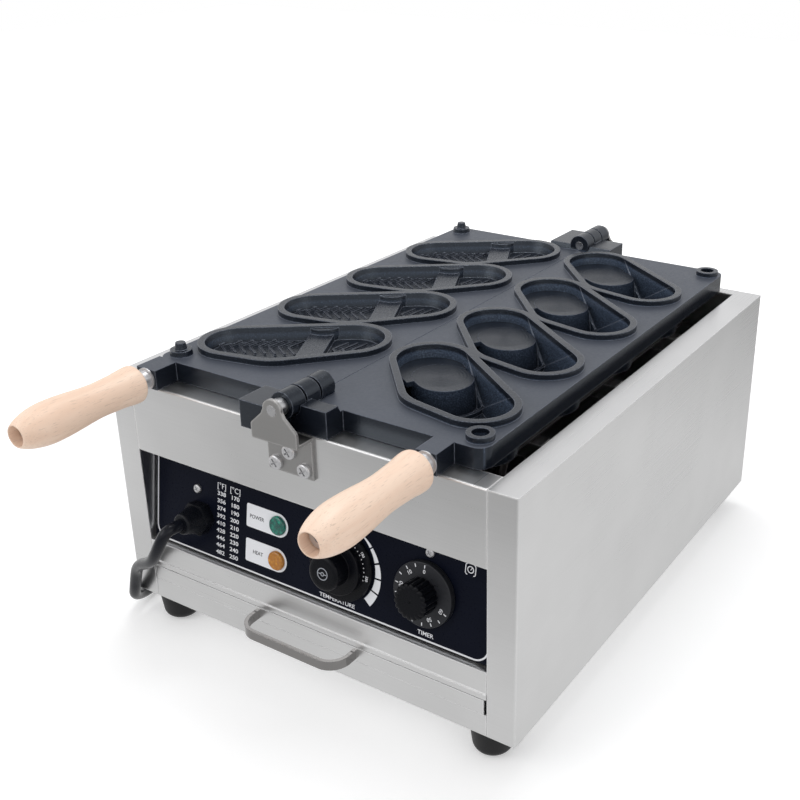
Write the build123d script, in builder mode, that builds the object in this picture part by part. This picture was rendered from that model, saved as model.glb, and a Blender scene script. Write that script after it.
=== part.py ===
"""Shoe waffle maker: a steel case with two hinged mould plates that fold over each other.

Millimetres, +Z up, the front faces -Y. The origin is at the middle of the bounding box of
everything but the mains cord, at the height of the surface that the feet stand on.
"""
from build123d import *
import math
import os

# Case
case_width = 370.0
case_depth = 450.0
case_height = 197.0
foot_height = 25.0
sheet = 1.5
bracket_sheet = 2.5
post_width = 23.0
post_return = 27.0
fascia_height = 60.0
fascia_fold = 20.0
back_fold = 12.0
fascia_return = 12.0
vent_length = 30.0
vent_height = 3.0
vent_spacing_x = 40.0
vent_spacing_z = 12.0
vent_rise = 60.0
vent_rows = 3
vent_columns = 7
rail_height = 18.0
butt_gap = 0.3
fold_radius = 1.2

# Mould plates
seam_gap = 0.6
plate_width = 148.7
plate_thickness = 16.0
plate_front_setback = 18.0
plate_back_setback = 3.0
plate_corner = 10.0
plate_rest_gap = 0.3
rim_height = 5.0
rim_width = 5.5
fold_gap = 0.3
mould_count = 4
mould_pitch = 94.0
first_mould_setback = 94.0
mould_middle = 78.0
mould_turn = 26.0
sole_depth = 11.0
sole_draft = 4.0
clog_depth = 31.0
clog_draft = 5.0
mould_floor = 5.0
plug_depth = 10.5
plug_radius = 22.0
plug_draft = 3.0
boss_inset = 2.5
rib_radius = 30.0
rib_width = 2.4
rib_depth = 12.0
arch_along = -18.0
arch_length = 20.0
arch_height = 5.0
arch_bulge_across = 38.0
arch_bulge_radius = 17.0
tread_width = 1.8
tread_height = 1.6
tread_reach = 15.0
tread_angle = 32.0
tread_middle = -4.0
tread_places = tuple(0.0 + 8.0 * k for k in range(8)) + tuple(-60.0 + 8.0 * k for k in range(4))
peg_inset = 12.0
peg_end_inset = 14.0
peg_radius = 9.0
peg_pin_radius = 5.0
peg_pin_height = 5.5
socket_radius = 10.0
socket_bore_radius = 6.2
socket_depth = 8.0

# Mould outline: three round corners along the shoe, as (along, across, radius)
heel_circle = (-46.0, 6.0, 33.0)
ball_circle = (8.0, -11.0, 37.0)
toe_circle = (42.0, -8.0, 31.0)
plug_centres = ((-34.0, 6.0), (-26.0, 5.0))

# Hinge
knuckle_radius = 10.0
knuckle_length = 14.0
knuckle_gap = 2.0
knuckle_relief = 0.5
hinge_pin_radius = 4.0
pin_clearance = 0.08
pin_end_stand = 0.4
pin_collar = 2.5
collar_gap = 0.3
front_barrel_reach = 7.0
front_tongue_reach = 17.5
rear_barrel_reach = 34.0
lug_half_width = 33.0
lug_gap = 0.5
right_lug_setback = 14.5
pad_front_end = 5.0
pad_back_end = 7.0
pad_slope = 2.5
tongue_half_width = 20.5
tongue_tip_radius = 8.3
tongue_shoulder = 11.5
tongue_neck = 4.0
tongue_rounding = 3.5
shelf_drop = 22.5
flange_height = 33.0
bracket_screw_spread = 13.0
bracket_screw_low = 26.5
bracket_screw_high = 15.0

# Handles
handle_lug_reach = 3.0
left_handle_inset = 10.3
left_lug_width = 19.4
right_handle_inset = 31.5
right_lug_width = 16.0
handle_length = 115.0
handle_neck_radius = 12.5
handle_belly_radius = 16.6
belly_place = 0.29
handle_end_radius = 14.5
handle_bolt_radius = 4.0
handle_bore_radius = 4.4
bolt_head_radius = 6.5
bolt_head_length = 6.0
bolt_socket_radius = 3.2
bolt_socket_depth = 3.5
bolt_recess_radius = 8.0
bolt_recess_depth = 14.0
bolt_thread_length = 14.0
washer_radius = 9.0
washer_thickness = 1.5

# Control panel
panel_tilt = 9.0
panel_length = 92.0
panel_foot_height = 55.5
panel_setback = 5.0
sill_gap = 0.8
sill_lip = 4.5
sill_hem = 0.8
overlay_thickness = 0.5
overlay_margin = 0.4
temperature_u = 31.3
temperature_v = 36.5
timer_u = 105.4
timer_v = 38.2
lamp_u = -31.0
power_lamp_v = 48.1
heat_lamp_v = 19.2
gland_u = -110.0
gland_v = 32.3
panel_screws_uv = ((-114.8, 54.8), (106.7, 69.2), (-150.0, 86.5), (150.0, 86.5))
hole_gap = 0.2
knob_gap = 0.6
skirt_radius = 28.0
skirt_thickness = 4.0
dial_radius = 21.5
dial_height = 9.0
grip_radius = 13.0
grip_height = 27.0
timer_skirt_radius = 24.5
timer_skirt_thickness = 5.0
timer_grip_radius = 13.5
timer_grip_height = 20.0
grip_ribs = 18
groove_radius = 1.2
shaft_radius = 3.0
shaft_bush_radius = 4.5
shaft_bush_length = 3.0
lamp_body_radius = 6.0
lamp_lens_radius = 7.7
lamp_lens_height = 3.0
lamp_body_length = 26.0
lamp_nut_margin = 2.5
screw_radius = 2.0
screw_head_radius = 3.6
screw_head_height = 2.2
bracket_screw_radius = 3.0
bracket_screw_head_radius = 5.8
bracket_screw_head_height = 3.2
screw_length = 8.0
cross_length = 1.15
cross_width = 0.22
cross_turn = 35.0
dome_share = 0.6

# Cable gland and cord
gland_nut_flats = 24.0
gland_hex_height = 9.0
gland_dome_height = 14.0
gland_dome_radius = 11.5
gland_mouth_radius = 8.0
gland_thread_radius = 9.0
gland_thread_length = 9.0
gland_locknut_height = 5.0
cord_diameter = 9.5
cord_floor_gap = 0.3
cord_seat = 3.0
first_run = 8.5
coil_reach = 36.0
coil_start_radius = 60.0
coil_pitch = 11.8
coil_layer_rise = 11.2
coil_half_turns = 3
coil_tail = 46.0
coil_setback = 72.0
plug_body_length = 38.0
plug_body_width = 36.0
plug_body_height = 30.6
plug_relief_length = 20.0
plug_relief_radius = 7.5
plug_pin_radius = 2.4
plug_pin_length = 19.0
plug_pin_spread = 19.0
plug_rounding = 9.0
plug_end_rounding = 2.5
pin_rounding = 1.2

# Drip tray
tray_front_height = 12.5
tray_gap = 0.6
tray_end_gap = 2.0
tray_depth = 400.0
tray_wall = 1.2
tray_wall_height = 11.0
tray_side_gap = 3.0
runner_shelf = 33.5
runner_height = 12.0
tray_handle_half_width = 49.0
tray_handle_reach = 24.0
tray_handle_bar_height = 7.5
tray_handle_bar = 3.0
tray_handle_corner = 17.0
tray_lip = 0.8
tray_lift = 0.6
runner_gap = 0.3
runner_back_gap = 30.0

# Feet
foot_inset_x = 29.0
foot_inset_y = 19.0
foot_radius = 17.5
foot_bottom_radius = 14.5
foot_rounding = 8.0
foot_bolt_radius = 3.0
foot_bolt_head = 5.5
foot_bolt_well = 12.0
foot_bolt_length = 10.0

# Inside
deck_height = 156.5
deck_flange = 12.0
heater_radius = 4.0
heater_height = 17.5
heater_runs_left = (-124.0, -92.0, -60.0, -28.0)
heater_end_inset = 40.0
heater_terminal_drop = 32.0
heater_terminal_inset = 80.0
heater_bend = 14.0
support_width = 14.0
support_count = 3
support_front_gap = 125.0
support_back_gap = 75.0
support_margin = 12.0
shelf_front_gap = 95.0
shelf_back_end = 260.0
shelf_lift = 16.0
screw_well_radius = 3.0
thermostat_width = 44.0
thermostat_height = 40.0
thermostat_depth = 30.0
timer_case = 48.0
timer_depth = 42.0
contactor_size = (45.0, 70.0, 62.0)
contactor_place = (70.0, 190.0)
terminal_size = (62.0, 24.0, 26.0)
terminal_pitch = 15.0
screw_well = 2.0
terminal_place = (-95.0, 120.0)
wire_radius = 1.6
bulb_radius = 3.0
bulb_length = 90.0
bulb_setback = 20.0
capillary_bend = 6.0
lead_bend = 14.0
wire_bend = 8.0
lead_spread = 14.0
lead_run = 18.0
capillary_radius = 1.0

# Places worked out from the sizes above
front_reach = handle_lug_reach + washer_thickness + handle_length
rear_tongue_reach = rear_barrel_reach + knuckle_gap + lug_gap
rear_reach = rear_tongue_reach + bracket_sheet + pin_end_stand
y_front = front_reach - (front_reach + case_depth + rear_reach) / 2
y_back = y_front + case_depth
x_side = case_width / 2
x_cheek = x_side - post_width
z_base = foot_height
z_top = z_base + case_height
z_fascia = z_top - fascia_height
plate_z = z_top + plate_rest_gap
plate_top = plate_z + plate_thickness
rim_z = plate_top + rim_height
axis_z = rim_z + fold_gap / 2
plate_front = y_front + plate_front_setback
plate_back = y_back - plate_back_setback
plate_edge = seam_gap / 2 + plate_width
handle_z = plate_z + plate_thickness / 2
knuckle_pitch = knuckle_length + knuckle_gap
front_barrel = y_front - front_barrel_reach
rear_barrel = y_back + rear_barrel_reach
front_tongue = y_front - front_tongue_reach
rear_tongue = y_back + rear_tongue_reach
left_lug_front = front_tongue + bracket_sheet + lug_gap
right_lug_front = left_lug_front + right_lug_setback
left_lug_back = rear_tongue - lug_gap
right_lug_back = rear_barrel - knuckle_length - knuckle_gap / 2
knuckle_starts = [front_barrel + knuckle_pitch * k for k in range(3)]
knuckle_starts += [rear_barrel - knuckle_length - knuckle_pitch * (2 - k) for k in range(3)]
knuckle_side = knuckle_gap / 2
front_pad_end = knuckle_starts[2] + knuckle_length
rear_pad_end = knuckle_starts[3]
z_tray = z_base + rail_height + tray_gap
z_sill = z_tray + tray_front_height + tray_gap
z_panel = z_base + panel_foot_height
deck_z = z_base + deck_height
heater_z = deck_z + heater_height
deck_front = y_front + post_return + 2 * sheet
cord_radius = cord_diameter / 2

os.makedirs("parts", exist_ok=True)


def save(piece, label):
    """Label the finished piece and write it as one STEP file."""
    piece.part.label = label
    export_step(piece.part, "parts/" + label + ".step")


def slab(width, depth, height):
    """A box centred in X and Y that stands on its plane."""
    return Box(width, depth, height, align=(Align.CENTER, Align.CENTER, Align.MIN))


def wall(x0, x1, y0, y1, z0, z1, mode=Mode.ADD):
    """A box between two corners."""
    with Locations(((x0 + x1) / 2, (y0 + y1) / 2, (z0 + z1) / 2)):
        Box(abs(x1 - x0), abs(y1 - y0), abs(z1 - z0), mode=mode)


def rod(x, z, radius, start, end, mode=Mode.ADD):
    """A round bar along Y between two places."""
    with Locations((x, (start + end) / 2, z)):
        Cylinder(radius, end - start, rotation=(90, 0, 0), mode=mode)


# Control panel plane: its X runs across the case and its Y runs up the slope
tilt = math.radians(panel_tilt)
panel_normal = Vector(0, -math.cos(tilt), math.sin(tilt))
panel_plane = Plane(
    origin=(0, y_front + panel_setback, z_panel), x_dir=(1, 0, 0), z_dir=panel_normal
)
inner_half = x_cheek - butt_gap


# Side panels: a wall with a front post that folds back, and a top flange
def side_panel(side):
    """One side of the case; side is -1 for left and 1 for right."""
    with BuildPart() as panel:
        wall(side * x_side, side * (x_side - sheet), y_front, y_back, z_base, z_top)
        wall(side * x_side, side * x_cheek, y_front, y_front + sheet, z_base, z_top)
        wall(side * x_side, side * x_cheek, y_front, y_back, z_top - sheet, z_top)
        wall(
            side * x_cheek, side * (x_cheek + sheet), y_front, y_front + post_return,
            z_base + sheet, z_top,
        )
        outer = panel.edges().filter_by(Axis.Z).group_by(Axis.Y)[0]
        outer = outer.group_by(Axis.X)[0 if side < 0 else -1]
        fillet(outer, fold_radius)
    return panel


save(side_panel(-1), "left_side_panel")
save(side_panel(1), "right_side_panel")

# Front fascia: folded back at its top and bottom, with a cut-out for the hinge lugs
fascia_inner = x_cheek - butt_gap / 2
with BuildPart() as front_fascia:
    wall(-fascia_inner, fascia_inner, y_front, y_front + sheet, z_fascia, z_top)
    wall(-fascia_inner, fascia_inner, y_front, y_front + fascia_fold, z_top - sheet, z_top)
    wall(-fascia_inner, fascia_inner, y_front, y_front + fascia_return, z_fascia, z_fascia + sheet)
    front_edges = front_fascia.edges().filter_by(Axis.X).group_by(Axis.Y)[0]
    fillet(front_edges, fold_radius)
    with Locations(*[
        (x, y_front, z_top + z)
        for x, z in (
            (-bracket_screw_spread, -shelf_drop - bracket_screw_low + axis_z - z_top),
            (bracket_screw_spread, -shelf_drop - bracket_screw_low + axis_z - z_top),
            (0, -shelf_drop - bracket_screw_high + axis_z - z_top),
        )
    ]):
        Cylinder(bracket_screw_radius, 4 * sheet, rotation=(90, 0, 0), mode=Mode.SUBTRACT)
save(front_fascia, "front_fascia")

# Back panel: full width, with a top fold and ventilation slots
vent_z = z_base + vent_rise
back_inner = x_side - sheet
with BuildPart() as back_panel:
    wall(-back_inner, back_inner, y_back - sheet, y_back, z_base + sheet, z_top - sheet)
    wall(-fascia_inner, fascia_inner, y_back - back_fold, y_back, z_top - sheet, z_top)
    with Locations((0, y_back, vent_z)):
        with GridLocations(vent_spacing_x, 1, vent_columns, 1):
            with Locations(*[(0, 0, vent_spacing_z * row) for row in range(vent_rows)]):
                Box(vent_length, 4 * sheet, vent_height, mode=Mode.SUBTRACT)
    with Locations(*[
        (x, y_back, axis_z - shelf_drop - drop)
        for x, drop in (
            (-bracket_screw_spread, bracket_screw_low),
            (bracket_screw_spread, bracket_screw_low),
            (0, bracket_screw_high),
        )
    ]):
        Cylinder(bracket_screw_radius, 4 * sheet, rotation=(90, 0, 0), mode=Mode.SUBTRACT)
save(back_panel, "back_panel")

# Bottom pan: its front flange is the rail under the drip tray
foot_places = {
    "foot_front_left": (-x_side + foot_inset_x, y_front + foot_inset_y),
    "foot_front_right": (x_side - foot_inset_x, y_front + foot_inset_y),
    "foot_back_left": (-x_side + foot_inset_x, y_back - foot_inset_y),
    "foot_back_right": (x_side - foot_inset_x, y_back - foot_inset_y),
}
z_floor = z_base + sheet
with BuildPart() as bottom_pan:
    wall(-back_inner, back_inner, y_front + sheet, y_back - sheet, z_base, z_floor)
    wall(-fascia_inner, fascia_inner, y_front, y_front + sheet, z_base, z_base + rail_height)
    wall(
        -fascia_inner, fascia_inner, y_front, y_front + fascia_return,
        z_base + rail_height - sheet, z_base + rail_height,
    )
    for side in (-1, 1):
        wall(
            side * back_inner, side * (back_inner - sheet), deck_front, y_back - sheet,
            z_base, z_floor + runner_height,
        )
    with Locations(*[(x, y, z_base) for x, y in foot_places.values()]):
        Cylinder(foot_bolt_radius + hole_gap / 2, 4 * sheet, mode=Mode.SUBTRACT)
save(bottom_pan, "bottom_pan")

# Sill between the control panel and the drip tray
z_sill_top = z_panel - sill_gap
with BuildPart() as panel_sill:
    wall(-fascia_inner, fascia_inner, y_front, y_front + sheet, z_sill, z_sill_top)
    wall(-fascia_inner, fascia_inner, y_front - sill_hem, y_front, z_sill, z_sill + sill_lip)
    wall(-fascia_inner, fascia_inner, y_front, y_front + fascia_return, z_sill, z_sill + sheet)
    wall(
        -fascia_inner, fascia_inner, y_front, y_front + post_return,
        z_sill_top - sheet, z_sill_top,
    )
save(panel_sill, "panel_sill")

# Control panel and its printed overlay
shaft_hole_radius = shaft_bush_radius + hole_gap
lamp_hole_radius = lamp_body_radius + hole_gap / 2
panel_holes = (
    (temperature_u, temperature_v, shaft_hole_radius),
    (timer_u, timer_v, shaft_hole_radius),
    (lamp_u, power_lamp_v, lamp_hole_radius),
    (lamp_u, heat_lamp_v, lamp_hole_radius),
    (gland_u, gland_v, gland_thread_radius + hole_gap),
)


def panel_sheet(half_width, length, base, thickness):
    """A sheet on the control panel's plane, with every hole through it."""
    with BuildPart() as piece:
        with BuildSketch(panel_plane.offset(base)):
            with Locations((0, length / 2 + 0.5)):
                Rectangle(2 * half_width, length)
            for u, v, radius in panel_holes:
                with Locations((u, v)):
                    Circle(radius, mode=Mode.SUBTRACT)
            with Locations(*panel_screws_uv):
                Circle(screw_radius + hole_gap / 2, mode=Mode.SUBTRACT)
        extrude(amount=thickness)
    return piece


panel_back = -overlay_thickness - sheet
save(panel_sheet(inner_half, panel_length, panel_back, sheet), "control_panel")
save(
    panel_sheet(inner_half - overlay_margin, panel_length - 1, -overlay_thickness, overlay_thickness),
    "panel_overlay",
)


def screws(plane, places, radius, head_radius, head_height, length):
    """A group of pan-head cross screws whose heads sit on the plane."""
    with BuildPart() as group:
        for u, v in places:
            spot = Plane(plane.from_local_coords(Vector(u, v, 0)), plane.x_dir, plane.z_dir)
            with BuildSketch(spot):
                Circle(head_radius)
            extrude(amount=head_height)
            with BuildSketch(spot):
                Circle(radius)
            extrude(amount=-length)
        heads = group.edges().filter_by(GeomType.CIRCLE).filter_by(
            lambda edge: abs(edge.radius - head_radius) < 0.01
            and (edge.arc_center - plane.origin).dot(plane.z_dir) > head_height / 2
        )
        fillet(heads, head_height * dome_share)
        for u, v in places:
            spot = Plane(plane.from_local_coords(Vector(u, v, head_height)), plane.x_dir, plane.z_dir)
            with BuildSketch(spot):
                for turn in (cross_turn, cross_turn + 90):
                    Rectangle(
                        head_radius * cross_length, head_radius * cross_width, rotation=turn,
                    )
            extrude(amount=-head_height / 2, mode=Mode.SUBTRACT)
    return group


save(
    screws(panel_plane, panel_screws_uv, screw_radius, screw_head_radius, screw_head_height,
           screw_length),
    "panel_screws",
)


# Mould outlines, shared by both plates
def mould_point(side, index, along, across):
    """A point given along and across one mould, in case coordinates."""
    turn = math.radians(mould_turn)
    x = mould_middle + along * math.cos(turn) + across * math.sin(turn)
    y = -along * math.sin(turn) + across * math.cos(turn)
    return side * x, y_front + first_mould_setback + mould_pitch * index + y


def mould_outline(side, index, z, inset):
    """A sketch of one mould's outline, moved in by inset."""
    with BuildSketch(Plane.XY.offset(z)) as outline:
        with BuildLine():
            for along, across, radius in (heel_circle, ball_circle, toe_circle):
                CenterArc(mould_point(side, index, along, across), radius - inset, 0, 360)
        make_hull()
    return outline.sketch


def plug_outline(side, index, z, radius):
    """A sketch of the round island in a clog mould."""
    with BuildSketch(Plane.XY.offset(z)) as outline:
        with BuildLine():
            for along, across in plug_centres:
                CenterArc(mould_point(side, index, along, across), radius, 0, 360)
        make_hull()
    return outline.sketch


def plate_blank(side, lug_front, lug_back, lug_inset, lug_width):
    """The flat plate with its hinge pads, its handle lug and the mould rims."""
    near = side * seam_gap / 2
    far = side * plate_edge
    lug_x = side * (plate_edge - lug_inset)
    wall(near, far, plate_front, plate_back, plate_z, plate_top)
    corners = [
        edge for edge in edges().filter_by(Axis.Z) if abs(edge.center().X - far) < 0.01
    ]
    fillet(corners, plate_corner)
    for end, inner in (
        (lug_front, plate_front - pad_front_end), (lug_back, plate_back - pad_back_end)
    ):
        slope = math.copysign(pad_slope, inner - end)
        with BuildSketch(Plane.YZ.offset(near)) as profile:
            with BuildLine():
                Polyline(
                    (end, plate_z), (inner + slope * 3, plate_z), (inner + slope * 3, plate_top),
                    (inner + slope, plate_top), (inner, rim_z), (end, rim_z), (end, plate_z),
                )
            make_face()
        extrude(profile.sketch, amount=side * (lug_half_width - seam_gap / 2))
    wall(
        lug_x - lug_width / 2, lug_x + lug_width / 2, y_front - handle_lug_reach,
        plate_front + 2, plate_z, plate_top,
    )
    for index in range(mould_count):
        extrude(mould_outline(side, index, plate_top, 0), amount=rim_height)


def knuckle(start):
    """One hinge knuckle from start towards the back."""
    rod(0, axis_z, knuckle_radius, start, start + knuckle_length)


def relief(start, end):
    """Room for the other plate's knuckle."""
    rod(0, axis_z, knuckle_radius + knuckle_relief, start, end, mode=Mode.SUBTRACT)


def pin_bores():
    """The bores for the two hinge pins."""
    bore = hinge_pin_radius + pin_clearance
    rod(0, axis_z, bore, left_lug_front - 1, front_pad_end + 1, mode=Mode.SUBTRACT)
    rod(0, axis_z, bore, rear_pad_end - 1, left_lug_back + 1, mode=Mode.SUBTRACT)


def handle_bore(side, lug_inset):
    """The tapped hole for the handle's bolt."""
    start = y_front - handle_lug_reach
    rod(
        side * (plate_edge - lug_inset), handle_z, handle_bolt_radius + 0.05, start - 1,
        start + bolt_thread_length + 1, mode=Mode.SUBTRACT,
    )


def across_box(side, along, across, long, wide, low, high):
    """A box turned with the first mould, around a point of it."""
    x, y = mould_point(side, 0, along, across)
    with Locations(Location((x, y, (low + high) / 2), (0, 0, -side * mould_turn))):
        Box(long, wide, high - low, mode=Mode.SUBTRACT)


# What the first sole mould takes out of the left plate: treads and the arch stay in it
mould_steps = [(0, mould_pitch * index, 0) for index in range(mould_count)]
sole_floor = rim_z - sole_depth
with BuildPart() as sole_cavity:
    top = mould_outline(-1, 0, rim_z, rim_width)
    floor = mould_outline(-1, 0, sole_floor, rim_width + sole_draft)
    loft([top, floor])
    across_box(-1, arch_along, 0, arch_length, 90, sole_floor - 1, sole_floor + arch_height)
    with BuildSketch(Plane.XY.offset(sole_floor)):
        with Locations(mould_point(-1, 0, arch_along, arch_bulge_across)):
            Circle(arch_bulge_radius)
    extrude(amount=sole_depth - 1.5, taper=12, mode=Mode.SUBTRACT)
    turn = Plane(
        (*mould_point(-1, 0, 0, 0), sole_floor), x_dir=(-math.cos(math.radians(mould_turn)),
        -math.sin(math.radians(mould_turn)), 0), z_dir=(0, 0, 1)
    )
    with BuildSketch(turn):
        for along in tread_places:
            for way in (-1, 1):
                with Locations((along, way * tread_reach / 2 + tread_middle)):
                    Rectangle(tread_width, tread_reach * 1.15, rotation=way * tread_angle)
    extrude(amount=tread_height, mode=Mode.SUBTRACT)

# What the first clog mould takes out of the right plate, round its island and its rib
clog_floor = rim_z - clog_depth
with BuildPart() as clog_cavity:
    top = mould_outline(1, 0, rim_z, rim_width)
    floor = mould_outline(1, 0, clog_floor, rim_width + clog_draft)
    loft([top, floor])
    plug_top = plug_outline(1, 0, rim_z - plug_depth, plug_radius)
    plug_foot = plug_outline(1, 0, clog_floor - 0.5, plug_radius + plug_draft)
    loft([plug_top, plug_foot], mode=Mode.SUBTRACT)
    rib_x, rib_y = mould_point(1, 0, *plug_centres[1])
    with BuildSketch(Plane.XY.offset(clog_floor - 0.5)):
        with Locations((rib_x, rib_y)):
            Circle(rib_radius + rib_width)
            Circle(rib_radius, mode=Mode.SUBTRACT)
        with Locations(Location((*mould_point(1, 0, plug_centres[1][0] - rib_radius * 0.7, 6), 0),
                                (0, 0, -mould_turn))):
            Rectangle(rib_radius * 2, rib_radius * 3, mode=Mode.SUBTRACT)
    extrude(amount=clog_depth - rib_depth, mode=Mode.SUBTRACT)

peg_x = plate_edge - peg_inset
peg_places = (plate_front + peg_end_inset, plate_back - peg_end_inset)

# Left plate: shallow sole moulds, two locating pegs, the outer knuckles
with BuildPart() as left_plate:
    plate_blank(-1, left_lug_front, left_lug_back, left_handle_inset, left_lug_width)
    relief(left_lug_front - 1, front_barrel)
    relief(knuckle_starts[1] - knuckle_side, knuckle_starts[1] + knuckle_length + knuckle_side)
    relief(knuckle_starts[4] - knuckle_side, knuckle_starts[4] + knuckle_length + knuckle_side)
    relief(rear_barrel, left_lug_back + 1)
    for k in (0, 2, 3, 5):
        knuckle(knuckle_starts[k])
    with Locations(*mould_steps):
        add(sole_cavity.part, mode=Mode.SUBTRACT)
    for y in peg_places:
        with BuildSketch(Plane.XY.offset(plate_top)):
            with Locations((-peg_x, y)):
                Circle(peg_radius)
        extrude(amount=rim_height - 0.5, taper=8)
        with BuildSketch(Plane.XY.offset(rim_z - 0.5)):
            with Locations((-peg_x, y)):
                Circle(peg_pin_radius)
        extrude(amount=peg_pin_height, taper=12)
    pin_bores()
    handle_bore(-1, left_handle_inset)
save(left_plate, "left_mould_plate")

# Right plate: deep clog moulds round an island, two sockets, the middle knuckles
with BuildPart() as right_plate:
    plate_blank(1, right_lug_front, right_lug_back, right_handle_inset, right_lug_width)
    boss = mould_outline(1, 0, clog_floor - mould_floor, boss_inset)
    for index in range(mould_count):
        extrude(boss.moved(Location((0, mould_pitch * index, 0))), amount=clog_depth)
    for k in (0, 2, 3, 5):
        relief(knuckle_starts[k] - knuckle_side, knuckle_starts[k] + knuckle_length + knuckle_side)
    for k in (1, 4):
        knuckle(knuckle_starts[k])
    with Locations(*mould_steps):
        add(clog_cavity.part, mode=Mode.SUBTRACT)
    for y in peg_places:
        with BuildSketch(Plane.XY.offset(plate_top)):
            with Locations((peg_x, y)):
                Circle(socket_radius)
        extrude(amount=rim_height - 0.5)
        with BuildSketch(Plane.XY.offset(rim_z)):
            with Locations((peg_x, y)):
                Circle(socket_bore_radius)
        extrude(amount=-socket_depth, mode=Mode.SUBTRACT)
    pin_bores()
    handle_bore(1, right_handle_inset)
save(right_plate, "right_mould_plate")


# Hinge brackets: an upright tongue that holds the pin, a shelf and a mounting flange
def hinge_bracket(tongue_y, face_y, outward):
    """One bracket; outward is -1 at the front and 1 at the back."""
    shelf_top = axis_z - shelf_drop
    shelf_low = shelf_top - bracket_sheet
    plane = Plane.XZ.offset(-tongue_y)
    with BuildPart() as bracket:
        with BuildSketch(plane):
            with BuildLine():
                shoulder = shelf_low + tongue_shoulder
                neck = axis_z - tongue_neck
                Polyline(
                    (-tongue_tip_radius, axis_z), (-tongue_tip_radius - 2, neck),
                    (-tongue_half_width, shoulder), (-tongue_half_width, shelf_low),
                    (tongue_half_width, shelf_low), (tongue_half_width, shoulder),
                    (tongue_tip_radius + 2, neck), (tongue_tip_radius, axis_z),
                )
                ThreePointArc(
                    (tongue_tip_radius, axis_z), (0, axis_z + tongue_tip_radius),
                    (-tongue_tip_radius, axis_z),
                )
            make_face()
            with Locations((0, axis_z)):
                Circle(hinge_pin_radius, mode=Mode.SUBTRACT)
        extrude(amount=outward * bracket_sheet)
        wall(
            -tongue_half_width, tongue_half_width, tongue_y, face_y, shelf_low, shelf_top,
        )
        wall(
            -tongue_half_width, tongue_half_width, face_y, face_y + outward * bracket_sheet,
            shelf_top - flange_height, shelf_top,
        )
        with Locations(*[
            (x, face_y, axis_z - shelf_drop - drop)
            for x, drop in (
                (-bracket_screw_spread, bracket_screw_low),
                (bracket_screw_spread, bracket_screw_low),
                (0, bracket_screw_high),
            )
        ]):
            Cylinder(bracket_screw_radius, 4 * bracket_sheet, rotation=(90, 0, 0),
                     mode=Mode.SUBTRACT)
        shoulders = [
            edge for edge in bracket.edges().filter_by(Axis.Y)
            if abs(edge.center().Z - shoulder) < 0.01
        ]
        fillet(shoulders, tongue_rounding)
    return bracket


save(hinge_bracket(front_tongue, y_front, -1), "front_hinge_bracket")
save(hinge_bracket(rear_tongue + bracket_sheet, y_back, 1), "rear_hinge_bracket")

bracket_places = (
    (-bracket_screw_spread, -bracket_screw_low),
    (bracket_screw_spread, -bracket_screw_low),
    (0, -bracket_screw_high),
)
front_screw_plane = Plane(
    (0, y_front - bracket_sheet, axis_z - shelf_drop), x_dir=(1, 0, 0), z_dir=(0, -1, 0)
)
rear_screw_plane = Plane(
    (0, y_back + bracket_sheet, axis_z - shelf_drop), x_dir=(-1, 0, 0), z_dir=(0, 1, 0)
)
for label, plane in (
    ("front_bracket_screws", front_screw_plane),
    ("rear_bracket_screws", rear_screw_plane),
):
    save(
        screws(plane, bracket_places, bracket_screw_radius, bracket_screw_head_radius,
               bracket_screw_head_height, screw_length),
        label,
    )


def hinge_pin(start, end, collar_start, collar_end):
    """A pin along Y with a collar between its bracket and the first knuckle."""
    with BuildPart() as pin:
        for y0, y1, radius in (
            (start, end, hinge_pin_radius), (collar_start, collar_end, hinge_pin_radius + pin_collar)
        ):
            rod(0, axis_z, radius, y0, y1)
    return pin


save(
    hinge_pin(front_tongue - pin_end_stand, front_pad_end, front_tongue + bracket_sheet,
              front_barrel - collar_gap),
    "front_hinge_pin",
)
save(
    hinge_pin(rear_pad_end, rear_tongue + bracket_sheet + pin_end_stand,
              rear_barrel + collar_gap, rear_tongue),
    "rear_hinge_pin",
)


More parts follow.
